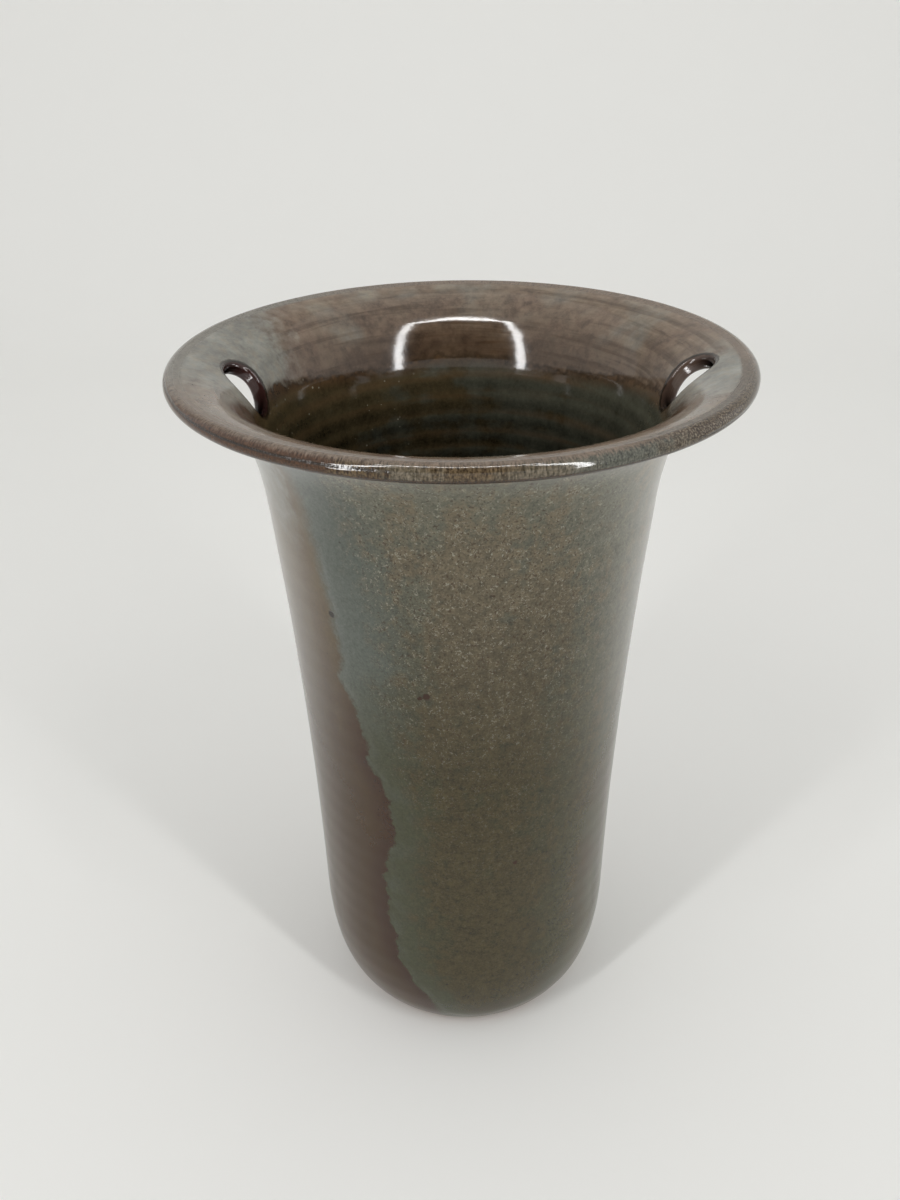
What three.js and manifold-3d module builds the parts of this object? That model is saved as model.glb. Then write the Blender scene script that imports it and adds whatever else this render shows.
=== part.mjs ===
// Tall stoneware flower vase: a slim body, a wide flared rim with a cut-out on each side,
// and glaze inside and out. Millimetres, +Z up, the front is -Y.
// The origin is the centre of the foot, on the surface that the vase stands on.

import * as THREE from 'three';
import { mergeVertices } from 'three/addons/utils/BufferGeometryUtils.js';
import Module from 'manifold-3d';

const wasm = await Module();
wasm.setup();

// Heights, and radii from the axis, to the glazed surface.
const FOOT_RADIUS = 38; // outer edge of the ring that the vase stands on
const HEEL_HEIGHT = 42; // where the rounded foot has become the wall
const HEEL_RADIUS = 54.5;
const NECK_HEIGHT = 205; // where the wall starts to flare
const NECK_RADIUS = 61.9;
const FLARE_HEIGHT = 45; // from the neck to the top of the lip
const LIP_RADIUS = 88.2; // to the outermost point of the lip
const LIP_THICKNESS = 5.4; // the lip is a full round

// Wall of clay and glaze together, and the underside of the foot.
const HEEL_WALL = 6.5;
const NECK_WALL = 5;
const FLOOR_THICKNESS = 7; // from the foot ring's plane up to the inside
const FLOOR_RADIUS = 22; // flat part of the inside floor
const FOOT_RING_WIDTH = 8;
const FOOT_RECESS = 1.8; // how far the middle of the underside is trimmed up
const RECESS_SLOPE = 4; // width of the recess's sloping edge

// Directions of the outline, in degrees, and how long each stretch holds them as a share of its span.
const HEEL_LEAN = 0.4; // from upright
const NECK_LEAN = 5; // from upright
const LIP_TILT = 11.5; // from level
const FOOT_EASE = 0.67;
const HEEL_EASE = 0.62;
const WALL_EASE = 0.35;
const NECK_EASE = 0.73;
const LIP_EASE = 0.56;
const FLOOR_EASE = 0.6;

// Cut-outs: ovals cut by hand through the flare, so the two differ a little. A turn is in degrees from
// the front, to the right, and a drop is measured along the inside, from the lip's crest to the oval's
// centre. The width goes round the rim, and the length up the slope.
const CUTOUTS = [
  { turn: -92, drop: 23.3, width: 17.4, length: 19.1 },
  { turn: 88.6, drop: 19.9, width: 16, length: 21.3 },
];
const CUTOUT_SOFTENING = 1.6; // rounding where a cut-out meets each face

// Glaze.
const COAT = 0.6; // thickness of one coat
const POUR_COAT = 0.4; // thickness of the second glaze over the first
const BOND = 0.05; // left between two layers, so that the solids stay apart
const GLAZE_LINE = 3; // height where the outside glaze stops above the foot
const POUR_LOW = 7; // height of the second glaze's lower edge
const POUR_OVER_NECK = 11; // how far above the neck its upper edge is, under the flare

// Edges of the second glaze: height, and turn in degrees from the front, to the right. The left edge is
// the ragged one that shows, and the right one is round the back.
const POUR_LEFT = [
  [0, -6], [21, -15], [37, -25], [64, -29.5], [86, -29.5], [97, -25], [110, -24.7], [123, -27.4],
  [131, -33], [140, -32.6], [152, -35.6], [159, -40], [173, -38.7], [193, -41], [214, -44], [230, -45],
];
const POUR_RIGHT = [[0, 118], [60, 111], [115, 120], [170, 107], [230, 97]];

// Fineness.
const TURNS = 48; // facets round the vase
const FOOT_STEPS = 4;
const WALL_STEPS = 5;
const FLARE_STEPS = 6;
const LIP_STEPS = 5;
const FLOOR_STEPS = 4;
const CUTOUT_FACETS = 24;
const POUR_ROWS = 32;
const POUR_COLUMNS = 12;

const { degToRad, lerp } = THREE.MathUtils;

// The outline: a list of stations from the foot ring, up the outside, over the lip and down the inside
// to the axis. Each has a point p (radius, height) on the glazed surface and the normal n out of it.

const upright = (lean) => new THREE.Vector2(Math.sin(degToRad(lean)), Math.cos(degToRad(lean)));
const step = (point, direction, length) => point.clone().addScaledVector(direction, length);

function station(curve, share) {
  const tangent = curve.getTangent(share);
  return { p: curve.getPoint(share), n: new THREE.Vector2(tangent.y, -tangent.x) };
}

function stations(curve, steps, from = 0, to = 1) {
  return Array.from({ length: steps }, (_, i) => station(curve, lerp(from, to, (i + 1) / steps)));
}

function shareAtHeight(curve, height) {
  let low = 0;
  let high = 1;
  for (let i = 0; i < 40; i += 1) {
    const middle = (low + high) / 2;
    const isBelow = curve.getPoint(middle).y < height;
    low = isBelow ? middle : low;
    high = isBelow ? high : middle;
  }
  return low;
}

const LIP_BEAD = LIP_THICKNESS / 2;
const lipCentre = new THREE.Vector2(LIP_RADIUS - LIP_BEAD, NECK_HEIGHT + FLARE_HEIGHT - LIP_BEAD);
const lipStart = degToRad(LIP_TILT - 90);
const lipDirection = new THREE.Vector2(Math.cos(degToRad(LIP_TILT)), Math.sin(degToRad(LIP_TILT)));
const heel = new THREE.Vector2(HEEL_RADIUS, HEEL_HEIGHT);
const neck = new THREE.Vector2(NECK_RADIUS, NECK_HEIGHT);
const underLip = new THREE.Vector2(Math.cos(lipStart), Math.sin(lipStart)).multiplyScalar(LIP_BEAD).add(lipCentre);

const footCurve = new THREE.CubicBezierCurve(
  new THREE.Vector2(FOOT_RADIUS, 0),
  new THREE.Vector2(lerp(FOOT_RADIUS, HEEL_RADIUS, FOOT_EASE), 0),
  step(heel, upright(HEEL_LEAN), -HEEL_EASE * HEEL_HEIGHT),
  heel,
);
const wallSpan = NECK_HEIGHT - HEEL_HEIGHT;
const wallCurve = new THREE.CubicBezierCurve(
  heel,
  step(heel, upright(HEEL_LEAN), WALL_EASE * wallSpan),
  step(neck, upright(NECK_LEAN), -WALL_EASE * wallSpan),
  neck,
);
const flareCurve = new THREE.CubicBezierCurve(
  neck,
  step(neck, upright(NECK_LEAN), NECK_EASE * FLARE_HEIGHT),
  step(underLip, lipDirection, -LIP_EASE * (underLip.x - neck.x)),
  underLip,
);
const lipCurve = new THREE.EllipseCurve(
  lipCentre.x, lipCentre.y, LIP_BEAD, LIP_BEAD, lipStart, lipStart + Math.PI, false, 0,
);

function across(stationList, wallAt) {
  return stationList.map(({ p, n }, i) => ({
    p: step(p, n, -wallAt(i / (stationList.length - 1))),
    n: n.clone().negate(),
  }));
}

function insideStations() {
  const flare = across([station(flareCurve, 0), ...stations(flareCurve, FLARE_STEPS)],
    (share) => lerp(NECK_WALL, LIP_THICKNESS, share)).reverse();
  const wall = across([station(wallCurve, 0), ...stations(wallCurve, WALL_STEPS)],
    (share) => lerp(HEEL_WALL, NECK_WALL, share)).reverse();
  const start = wall.at(-1).p;
  const floorEdge = new THREE.Vector2(FLOOR_RADIUS, FLOOR_THICKNESS);
  const floorCurve = new THREE.CubicBezierCurve(
    start,
    step(start, upright(HEEL_LEAN), -FLOOR_EASE * (start.y - FLOOR_THICKNESS)),
    new THREE.Vector2(lerp(FLOOR_RADIUS, start.x, FLOOR_EASE), FLOOR_THICKNESS),
    floorEdge,
  );
  const centre = { p: new THREE.Vector2(0, FLOOR_THICKNESS), n: new THREE.Vector2(0, 1) };
  return {
    flare: flare.slice(1),
    wall: wall.slice(1),
    floor: [...stations(floorCurve, FLOOR_STEPS), centre],
  };
}

const glazeShare = shareAtHeight(footCurve, GLAZE_LINE);
const inside = insideStations();
const BARE = [station(footCurve, 0), ...stations(footCurve, 2, 0, glazeShare)];
const OUTSIDE_LOW = [...stations(footCurve, FOOT_STEPS, glazeShare, 1), ...stations(wallCurve, WALL_STEPS)];
const RIM = [
  ...stations(flareCurve, FLARE_STEPS),
  ...stations(lipCurve, LIP_STEPS),
  ...inside.flare,
];
const INSIDE_LOW = [...inside.wall, ...inside.floor];

// Points of a run of stations, moved out of the glazed surface by a distance, or into it if negative.
const shifted = (run, distance) => run.map(({ p, n }) => step(p, n, distance));

// A station between two others, for where a coat stops short of them.
function between(a, b, share) {
  return { p: a.p.clone().lerp(b.p, share), n: a.n.clone().lerp(b.n, share).normalize() };
}

function pulledBack(run) {
  const gapShare = (a, b) => BOND / a.p.distanceTo(b.p);
  const [first, second] = run;
  const [beforeLast, last] = run.slice(-2);
  const ends = {
    start: between(first, second, gapShare(first, second)),
    end: between(last, beforeLast, gapShare(last, beforeLast)),
  };
  return [ends.start, ...run.slice(1, -1), ends.end];
}

// Solids.

// Turns a closed outline round the axis. A lathe turns about Y, so the result is stood up along Z.
function revolve(points) {
  const isOnAxis = Math.abs(points[0].x) < 1e-9 && Math.abs(points.at(-1).x) < 1e-9;
  const outline = isOnAxis ? points : [...points, points[0]];
  return solid(new THREE.LatheGeometry(outline, TURNS).rotateX(Math.PI / 2));
}

// A closed geometry as a solid: only positions are kept, shared corners are merged, and the flat
// triangles that a lathe leaves on the axis are dropped.
function solid(geometry) {
  const bare = new THREE.BufferGeometry();
  bare.setAttribute('position', geometry.getAttribute('position'));
  bare.setIndex(geometry.getIndex());
  const merged = mergeVertices(bare, 1e-4);
  const index = merged.getIndex().array;
  const corners = [];
  for (let i = 0; i < index.length; i += 3) {
    const [a, b, c] = index.slice(i, i + 3);
    if (a !== b && b !== c && c !== a) {
      corners.push(a, b, c);
    }
  }
  return new wasm.Manifold(new wasm.Mesh({
    numProp: 3,
    vertProperties: new Float32Array(merged.getAttribute('position').array),
    triVerts: new Uint32Array(corners),
  }));
}

function geometryOf(manifold) {
  const mesh = manifold.getMesh();
  const geometry = new THREE.BufferGeometry();
  geometry.setAttribute('position', new THREE.BufferAttribute(mesh.vertProperties, mesh.numProp));
  geometry.setIndex(new THREE.BufferAttribute(mesh.triVerts, 1));
  geometry.computeVertexNormals();
  return geometry;
}

// A solid skinned over rings of equal length, closed at both ends with a point.
function loft(rings, startPoint, endPoint) {
  const size = rings[0].length;
  const points = [startPoint, ...rings.flat(), endPoint];
  const last = points.length - 1;
  const index = [];
  for (let i = 0; i < size; i += 1) {
    const j = (i + 1) % size;
    index.push(0, 1 + j, 1 + i);
    index.push(last, last - size + i, last - size + j);
    for (let k = 0; k < rings.length - 1; k += 1) {
      const a = 1 + k * size;
      const b = a + size;
      index.push(a + i, a + j, b + j);
      index.push(a + i, b + j, b + i);
    }
  }
  const geometry = new THREE.BufferGeometry();
  geometry.setAttribute('position', new THREE.Float32BufferAttribute(points.flatMap((v) => v.toArray()), 3));
  geometry.setIndex(index);
  const made = solid(geometry);
  if (made.volume() > 0) {
    return made;
  }
  geometry.setIndex(index.toReversed());
  return solid(geometry);
}

function onCircle(radius, turn, height) {
  return new THREE.Vector3(radius * Math.sin(turn), -radius * Math.cos(turn), height);
}

// The flare's inside as a curve that starts at the lip's crest, for placing the cut-outs on it.
const flareInside = new THREE.SplineCurve(
  [RIM.at(FLARE_STEPS + LIP_STEPS - 1), ...inside.flare].map(({ p }) => p),
);

function flareStation(drop) {
  const share = THREE.MathUtils.clamp(drop / flareInside.getLength(), 0, 1);
  const tangent = flareInside.getTangentAt(share);
  return { p: flareInside.getPointAt(share), n: new THREE.Vector2(tangent.y, -tangent.x) };
}

// The tool that cuts one oval through the flare. Its rings follow the wall: each lies at a depth below
// the inside face, and it widens at both faces, which softens the edges. margin widens it all over.
function cutter({ turn, drop, width, length }, margin) {
  const wall = (NECK_WALL + LIP_THICKNESS) / 2;
  const beyond = 3;
  const levels = [
    [-beyond, CUTOUT_SOFTENING + beyond],
    [CUTOUT_SOFTENING / 3, CUTOUT_SOFTENING / 3],
    [CUTOUT_SOFTENING, 0],
    [wall - CUTOUT_SOFTENING, 0],
    [wall - CUTOUT_SOFTENING / 3, CUTOUT_SOFTENING / 3],
    [wall + beyond, CUTOUT_SOFTENING + beyond],
  ];
  const centreTurn = degToRad(turn);
  const centreRadius = flareStation(drop).p.x;
  const ring = ([depth, widening]) => Array.from({ length: CUTOUT_FACETS }, (_, i) => {
    const angle = (2 * Math.PI * i) / CUTOUT_FACETS;
    const halfWidth = width / 2 + widening + margin;
    const halfLength = length / 2 + widening + margin;
    const { p, n } = flareStation(drop + halfLength * Math.sin(angle));
    const point = step(p, n, -depth);
    return onCircle(point.x, centreTurn + (halfWidth * Math.cos(angle)) / centreRadius, point.y);
  });
  const middle = ([depth]) => {
    const { p, n } = flareStation(drop);
    const point = step(p, n, -depth);
    return onCircle(point.x, centreTurn, point.y);
  };
  return loft(levels.map(ring), middle(levels[0]), middle(levels.at(-1)));
}

const withCutouts = (whole, margin) => CUTOUTS.reduce((rest, cutout) => rest.subtract(cutter(cutout, margin)), whole);

// The clay: everything inside the glazed surface, less the coats. Its skin meets the glazed surface at
// the bare foot and sinks under the coat's edge.
function stonewareBody() {
  const recessRadius = FOOT_RADIUS - FOOT_RING_WIDTH;
  const underside = [
    new THREE.Vector2(0, FOOT_RECESS),
    new THREE.Vector2(recessRadius - RECESS_SLOPE, FOOT_RECESS),
    new THREE.Vector2(recessRadius, 0),
  ];
  const sunk = COAT + BOND;
  const foot = BARE.map(({ p, n }, i) => step(p, n, -sunk * (i / (BARE.length - 1)) ** 2));
  const outline = [...underside, ...foot, ...shifted([...OUTSIDE_LOW, ...RIM, ...INSIDE_LOW], -sunk)];
  return withCutouts(revolve(outline), sunk);
}

// A coat of glaze over a run of stations: its face is lifted over the glazed surface by lift.
function coat(run, lift, thickness) {
  const face = shifted(run, lift);
  const back = shifted(run, lift - thickness).reverse();
  return revolve(run.at(-1).p.x < 1e-9 ? [...back, ...face] : [...face, ...back]);
}

function linerGlaze() {
  const run = [RIM.at(-1), ...INSIDE_LOW];
  const trimmed = [pulledBack(run)[0], ...run.slice(1)];
  const face = shifted(trimmed, 0);
  const back = shifted(trimmed, -COAT).reverse();
  return revolve([...back, ...face]);
}

const baseGlaze = () => coat(pulledBack([BARE.at(-1), ...OUTSIDE_LOW]), 0, COAT);

// The rim's coat also lines the cut-outs: a thick flare with the finished openings, less the clay's
// space, whose openings are wider by the coat.
function rimGlaze() {
  const run = pulledBack([OUTSIDE_LOW.at(-1), ...RIM]);
  const whole = withCutouts(revolve(shifted(run, 0)), 0);
  const core = withCutouts(revolve(shifted([OUTSIDE_LOW.at(-1), ...RIM], -COAT)), COAT);
  return whole.subtract(core);
}

// A sector round the axis whose two upright faces follow the edges of the second glaze.
function pourSector() {
  const edge = (points) => new THREE.SplineCurve(points.map(([height, turn]) => new THREE.Vector2(turn, height)));
  const left = edge(POUR_LEFT);
  const right = edge(POUR_RIGHT);
  const reach = 2 * LIP_RADIUS;
  const low = POUR_LOW;
  const high = NECK_HEIGHT + POUR_OVER_NECK;
  const rings = Array.from({ length: POUR_ROWS + 1 }, (_, row) => {
    const height = lerp(low, high, row / POUR_ROWS);
    const from = degToRad(left.getPoint(shareAtHeight(left, height)).x);
    const to = degToRad(right.getPoint(shareAtHeight(right, height)).x);
    const arc = Array.from({ length: POUR_COLUMNS + 1 }, (_, i) => (
      onCircle(reach, lerp(from, to, i / POUR_COLUMNS), height)
    ));
    return [onCircle(0, 0, height), ...arc];
  });
  const middle = degToRad((POUR_LEFT[0][1] + POUR_RIGHT[0][1]) / 2);
  return loft(rings, onCircle(reach / 2, middle, low), onCircle(reach / 2, middle, high));
}

function pouredGlaze() {
  const run = [BARE.at(-1), ...OUTSIDE_LOW, ...RIM.slice(0, FLARE_STEPS)];
  return coat(run, BOND + POUR_COAT, POUR_COAT).intersect(pourSector());
}

// Finishes, and the vase.

const FINISHES = {
  stoneware_body: { color: '#a08468', roughness: 0.85, metalness: 0 },
  liner_glaze: { color: '#3a382c', roughness: 0.22, metalness: 0 },
  base_glaze: { color: '#5c473c', roughness: 0.25, metalness: 0 },
  rim_glaze: { color: '#6d6459', roughness: 0.16, metalness: 0 },
  poured_glaze: { color: '#5f6455', roughness: 0.28, metalness: 0 },
};

const SOLIDS = {
  stoneware_body: stonewareBody(),
  liner_glaze: linerGlaze(),
  base_glaze: baseGlaze(),
  rim_glaze: rimGlaze(),
  poured_glaze: pouredGlaze(),
};

const vase = new THREE.Group();
for (const [name, manifold] of Object.entries(SOLIDS)) {
  const mesh = new THREE.Mesh(geometryOf(manifold), new THREE.MeshStandardMaterial(FINISHES[name]));
  mesh.name = name;
  vase.add(mesh);
}

export default vase;
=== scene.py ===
"""Looks of the tall stoneware vase: its clay, its four glazes and the studio it stands in.

The file is laid out as a Blender add-on and is run as a script. Lengths in the settings are in
metres; the surface itself is worked out in millimetres, as it is in the part's source.
A turn is an angle round the vase, in degrees from the front, positive to the right. A run is a
distance along the outline, from the glaze line up the outside, over the lip and down the inside.
"""

import math

import bpy
import numpy as np
from bpy.props import FloatProperty, FloatVectorProperty, IntProperty, PointerProperty
from mathutils import Matrix, Vector


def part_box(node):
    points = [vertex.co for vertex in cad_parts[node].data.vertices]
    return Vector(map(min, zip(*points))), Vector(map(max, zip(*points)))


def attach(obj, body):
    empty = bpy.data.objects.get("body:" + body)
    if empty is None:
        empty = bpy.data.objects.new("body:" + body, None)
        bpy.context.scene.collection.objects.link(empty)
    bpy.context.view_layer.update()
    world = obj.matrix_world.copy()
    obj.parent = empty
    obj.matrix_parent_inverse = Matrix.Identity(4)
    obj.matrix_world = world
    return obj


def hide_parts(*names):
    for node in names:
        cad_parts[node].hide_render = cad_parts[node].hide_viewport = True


bl_info = {
    "name": "Flared stoneware vase",
    "version": (1, 0, 0),
    "blender": (4, 5, 0),
    "location": "3D View > Sidebar > Vase",
    "description": "Builds the clay, the glazes and the studio of a flared stoneware vase",
    "category": "Add Mesh",
}

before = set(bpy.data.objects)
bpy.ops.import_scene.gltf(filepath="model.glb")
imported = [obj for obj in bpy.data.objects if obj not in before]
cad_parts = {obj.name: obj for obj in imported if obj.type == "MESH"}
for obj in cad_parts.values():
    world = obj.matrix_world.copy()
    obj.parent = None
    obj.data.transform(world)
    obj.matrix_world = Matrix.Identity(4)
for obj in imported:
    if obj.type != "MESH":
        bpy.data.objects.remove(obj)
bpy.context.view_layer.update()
BODY = "root"
MM = 0.001

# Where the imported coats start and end, for the defaults of the settings.
RIM_LOW, RIM_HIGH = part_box("rim_glaze")
BASE_LOW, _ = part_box("base_glaze")
POUR_LOW, POUR_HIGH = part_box("poured_glaze")

# Edges of the poured glaze: height in mm, and turn. The left one is the ragged edge that shows.
POUR_LEFT = [
    (0, -6), (21, -15), (37, -25), (64, -29.5), (86, -29.5), (97, -25), (110, -24.7), (123, -27.4),
    (131, -33), (140, -32.6), (152, -35.6), (159, -40), (173, -38.7), (193, -41), (214, -44), (252, -46),
]
POUR_RIGHT = [(0, 118), (60, 111), (115, 120), (170, 107), (230, 97), (252, 95)]

# A pinhole in the glaze, by the second one's edge: its turn, and its height and size in mm.
PINHOLE = {"turn": -40, "height": 185, "size": 1.3}

# Small red-brown stains in the second glaze, given in the same way.
STAINS = [
    {"turn": -10.6, "height": 163, "size": 1.3},
    {"turn": -12.6, "height": 162, "size": 0.9},
    {"turn": 18.0, "height": 91, "size": 0.9},
]

# Roughness of the faint haze over the outside, and how strongly the glaze bends light.
HAZE_ROUGHNESS = 0.35
GLAZE_IOR = 1.42

# Kinds of soft unevenness: a seed, how many waves go round at most, and how many a mm go along.
RING_WANDER = (3, 3, 0.02)
WALL_LUMPS = (5, 4, 0.03)
FLARE_LUMPS = (8, 6, 0.08)
RING_LUMPS = (9, 5, 0.05)
LIP_LUMPS = (11, 44, 0.05)
LINE_WAVE = (21, 9, 0)
POUR_WAVE = (31, 14, 0)

# Stretches of the rim's inside that the second glaze covers: turns of the two ends at the lip, and
# how far each end shifts by the bottom of the flare. Elsewhere it is this many degrees outside them.
RIM_PATCHES = [
    {"start": -128, "end": -72, "start_shift": 26, "end_shift": -12},
    {"start": 62, "end": 92, "start_shift": 8, "end_shift": -12},
]
FAR_OUTSIDE = -90.0


# Settings.

def length(name, description, default):
    """A setting that holds a length in metres."""
    return FloatProperty(name=name, description=description, default=default, unit="LENGTH",
                         precision=5, min=0)


def colour(name, description, default):
    """A setting that holds a linear colour."""
    return FloatVectorProperty(name=name, description=description, default=default,
                               subtype="COLOR", min=0, max=1)


def angle(name, description, degrees):
    """A setting that holds an angle."""
    return FloatProperty(name=name, description=description, default=math.radians(degrees),
                         unit="ROTATION", subtype="ANGLE")


class VaseSizes(bpy.types.PropertyGroup):
    """Sizes of the glazed surface and the wall."""

    height: length("Height", "From the floor to the top of the lip", RIM_HIGH.z)
    neck_height: length("Neck height", "Where the wall starts to flare", RIM_LOW.z)
    lip_radius: length("Lip radius", "To the outermost point of the lip", 0.0882)
    glaze_line: length("Glaze line", "Height where the outside glaze stops", BASE_LOW.z)
    pour_low: length("Pour's lower edge", "Height of the second glaze's lower edge", POUR_LOW.z)
    pour_high: length("Pour's upper edge", "Height of the second glaze's upper edge", POUR_HIGH.z)
    foot_radius: length("Foot radius", "Outer edge of the ring that the vase stands on", 0.038)
    heel_height: length("Heel height", "Where the rounded foot has become the wall", 0.042)
    heel_radius: length("Heel radius", "Radius at the heel", 0.0545)
    neck_radius: length("Neck radius", "Radius where the flare starts", 0.0619)
    lip_thickness: length("Lip thickness", "The lip is a full round", 0.0054)
    heel_wall: length("Heel wall", "Wall at the heel, clay and glaze together", 0.0065)
    neck_wall: length("Neck wall", "Wall at the neck, clay and glaze together", 0.005)
    floor_thickness: length("Floor thickness", "From the floor up to the inside", 0.007)
    floor_radius: length("Floor radius", "Flat part of the inside floor", 0.022)
    foot_ring: length("Foot ring", "Width of the ring under the foot", 0.008)
    foot_recess: length("Foot recess", "How far the underside is trimmed up", 0.0018)
    recess_slope: length("Recess slope", "Width of the recess's sloping edge", 0.004)


class CutoutSizes(bpy.types.PropertyGroup):
    """The ovals cut by hand through the flare."""

    left_turn: angle("Left turn", "Turn of the left oval's centre", -92)
    left_drop: length("Left drop", "From the lip down the inside to the left oval's centre", 0.0233)
    left_width: length("Left width", "Width of the left oval, round the rim", 0.0174)
    left_length: length("Left length", "Length of the left oval, up the slope", 0.0191)
    right_turn: angle("Right turn", "Turn of the right oval's centre", 88.6)
    right_drop: length("Right drop", "From the lip down the inside to the right oval's centre", 0.0199)
    right_width: length("Right width", "Width of the right oval, round the rim", 0.016)
    right_length: length("Right length", "Length of the right oval, up the slope", 0.0213)
    softening: length("Softening", "Rounding of the ovals' edges", 0.0015)


class HandMarks(bpy.types.PropertyGroup):
    """What the potter's hand and the kiln left on the surface."""

    ring_pitch: length("Ring pitch", "From one throwing ring to the next, inside", 0.007)
    ring_depth: length("Ring depth", "Height of the throwing rings inside", 0.0003)
    wall_ripple: length("Wall ripple", "Height of the marks outside", 0.00003)
    flare_ripple: length("Flare ripple", "Height of the marks on the flare", 0.000014)
    lip_lumps: length("Lip lumps", "Height of the uneven spots on the lip", 0.000012)
    coat: length("Coat", "Thickness of a glaze coat", 0.0006)
    pour_coat: length("Pour coat", "How far the second glaze stands over the first", 0.00012)
    pour_edge: length("Pour edge", "Width of the second glaze's rounded edge", 0.0042)
    line_wave: length("Line wave", "How far the glaze line wanders at the foot", 0.0008)
    columns: IntProperty(name="Columns", description="Faces round the vase", default=192, min=48)


class GlazeColours(bpy.types.PropertyGroup):
    """Colours of the clay and the glazes."""

    clay: colour("Clay", "Bare fired clay", (0.36, 0.235, 0.15))
    clay_dark: colour("Dark clay", "Toasted clay near the glaze line", (0.2, 0.11, 0.062))
    iron_brown: colour("Iron brown", "First glaze where it is thick", (0.108, 0.075, 0.036))
    red_brown: colour("Red brown", "First glaze where it breaks", (0.078, 0.037, 0.018))
    brown_low: colour("Lower brown", "What the first glaze is multiplied by low down", (0.46, 0.32, 0.12))
    blue_green: colour("Blue-green", "Second glaze beside its edge, high up", (0.095, 0.106, 0.09))
    deep_green: colour("Deep green", "Second glaze beside its edge, low down", (0.048, 0.05, 0.024))
    olive: colour("Olive", "Second glaze, greener patches", (0.099, 0.096, 0.069))
    olive_brown: colour("Olive brown", "Second glaze, browner patches", (0.107, 0.088, 0.056))
    olive_low: colour("Lower olive", "What the second glaze is multiplied by low down", (0.45, 0.42, 0.24))
    fleck: colour("Fleck", "Pale flecks in the second glaze", (0.31, 0.295, 0.23))
    pit: colour("Pit", "Brown pits in the second glaze", (0.036, 0.014, 0.006))
    # Also used for the lip's hairline and the throat edge's line, which are partly painted shade.
    speck: colour("Speck", "Dark iron specks", (0.018, 0.012, 0.007))
    throat: colour("Throat", "Inside, where the glaze is thick", (0.041, 0.031, 0.015))
    throat_green: colour("Throat green", "Inside, greener bands", (0.035, 0.035, 0.025))
    throat_red: colour("Throat red", "Inside, where the glaze thins on the ridges", (0.048, 0.024, 0.011))
    rim_brown: colour("Rim brown", "Flare, brown", (0.172, 0.117, 0.08))
    rim_olive: colour("Rim olive", "Flare, olive", (0.158, 0.131, 0.094))
    # Also used for the painted shade under the lip and the painted dark reflection at the back of the flare.
    rim_dark: colour("Rim dark", "Flare, dark streaks", (0.048, 0.026, 0.013))
    rim_grey: colour("Rim grey", "Flare, under the second glaze", (0.195, 0.2, 0.178))
    cut_red: colour("Cut red", "Thin glaze over the edges of the cut-outs", (0.05, 0.02, 0.017))
    cut_brown: colour("Cut brown", "Paler glaze inside the cut-outs", (0.115, 0.078, 0.058))
    lip_gold: colour("Lip gold", "Golden breaks on the lip", (0.118, 0.078, 0.038))
    lip_crest: colour("Lip crest", "Paler brown on top of the lip", (0.2, 0.152, 0.115))


class StudioSettings(bpy.types.PropertyGroup):
    """Floor, lamps and the room's light."""

    floor_tone: colour("Floor", "Pale floor and backdrop", (0.888, 0.885, 0.866))
    room_tone: colour("Room", "What the camera and the gloss see of the room", (1.0, 1.0, 1.0))
    room_light: FloatProperty(name="Room light", description="Level of the room's light", default=0.76)
    strip_light: FloatProperty(name="Strip light", description="Radiance of the two strips", default=19)
    glint_light: FloatProperty(name="Glints", description="Radiance of the lamps in the gloss", default=27)
    card_tone: FloatProperty(name="Card", description="Grey of the dark card at the front", default=0.04)


# The outline: one long run of points from the glaze line up the outside, over the lip and down the
# inside to the axis, in mm, with the direction out of the glaze at each point.

def unit(vectors):
    """The vectors at length 1."""
    return vectors / np.maximum(np.linalg.norm(vectors, axis=-1, keepdims=True), 1e-12)


def bezier(controls, shares):
    """Points of a cubic curve, and the directions out of it to the right of its travel."""
    first, second, third, last = (np.asarray(point, float) for point in controls)
    at = np.asarray(shares, float)[:, None]
    back = 1 - at
    points = back**3 * first + 3 * back**2 * at * second + 3 * back * at**2 * third + at**3 * last
    along = back**2 * (second - first) + 2 * back * at * (third - second) + at**2 * (last - third)
    along = unit(along)
    return points, np.stack([along[:, 1], -along[:, 0]], axis=1)


def leaning(degrees):
    """Direction at an angle from upright, away from the axis."""
    return np.array([math.sin(math.radians(degrees)), math.cos(math.radians(degrees))])


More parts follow.
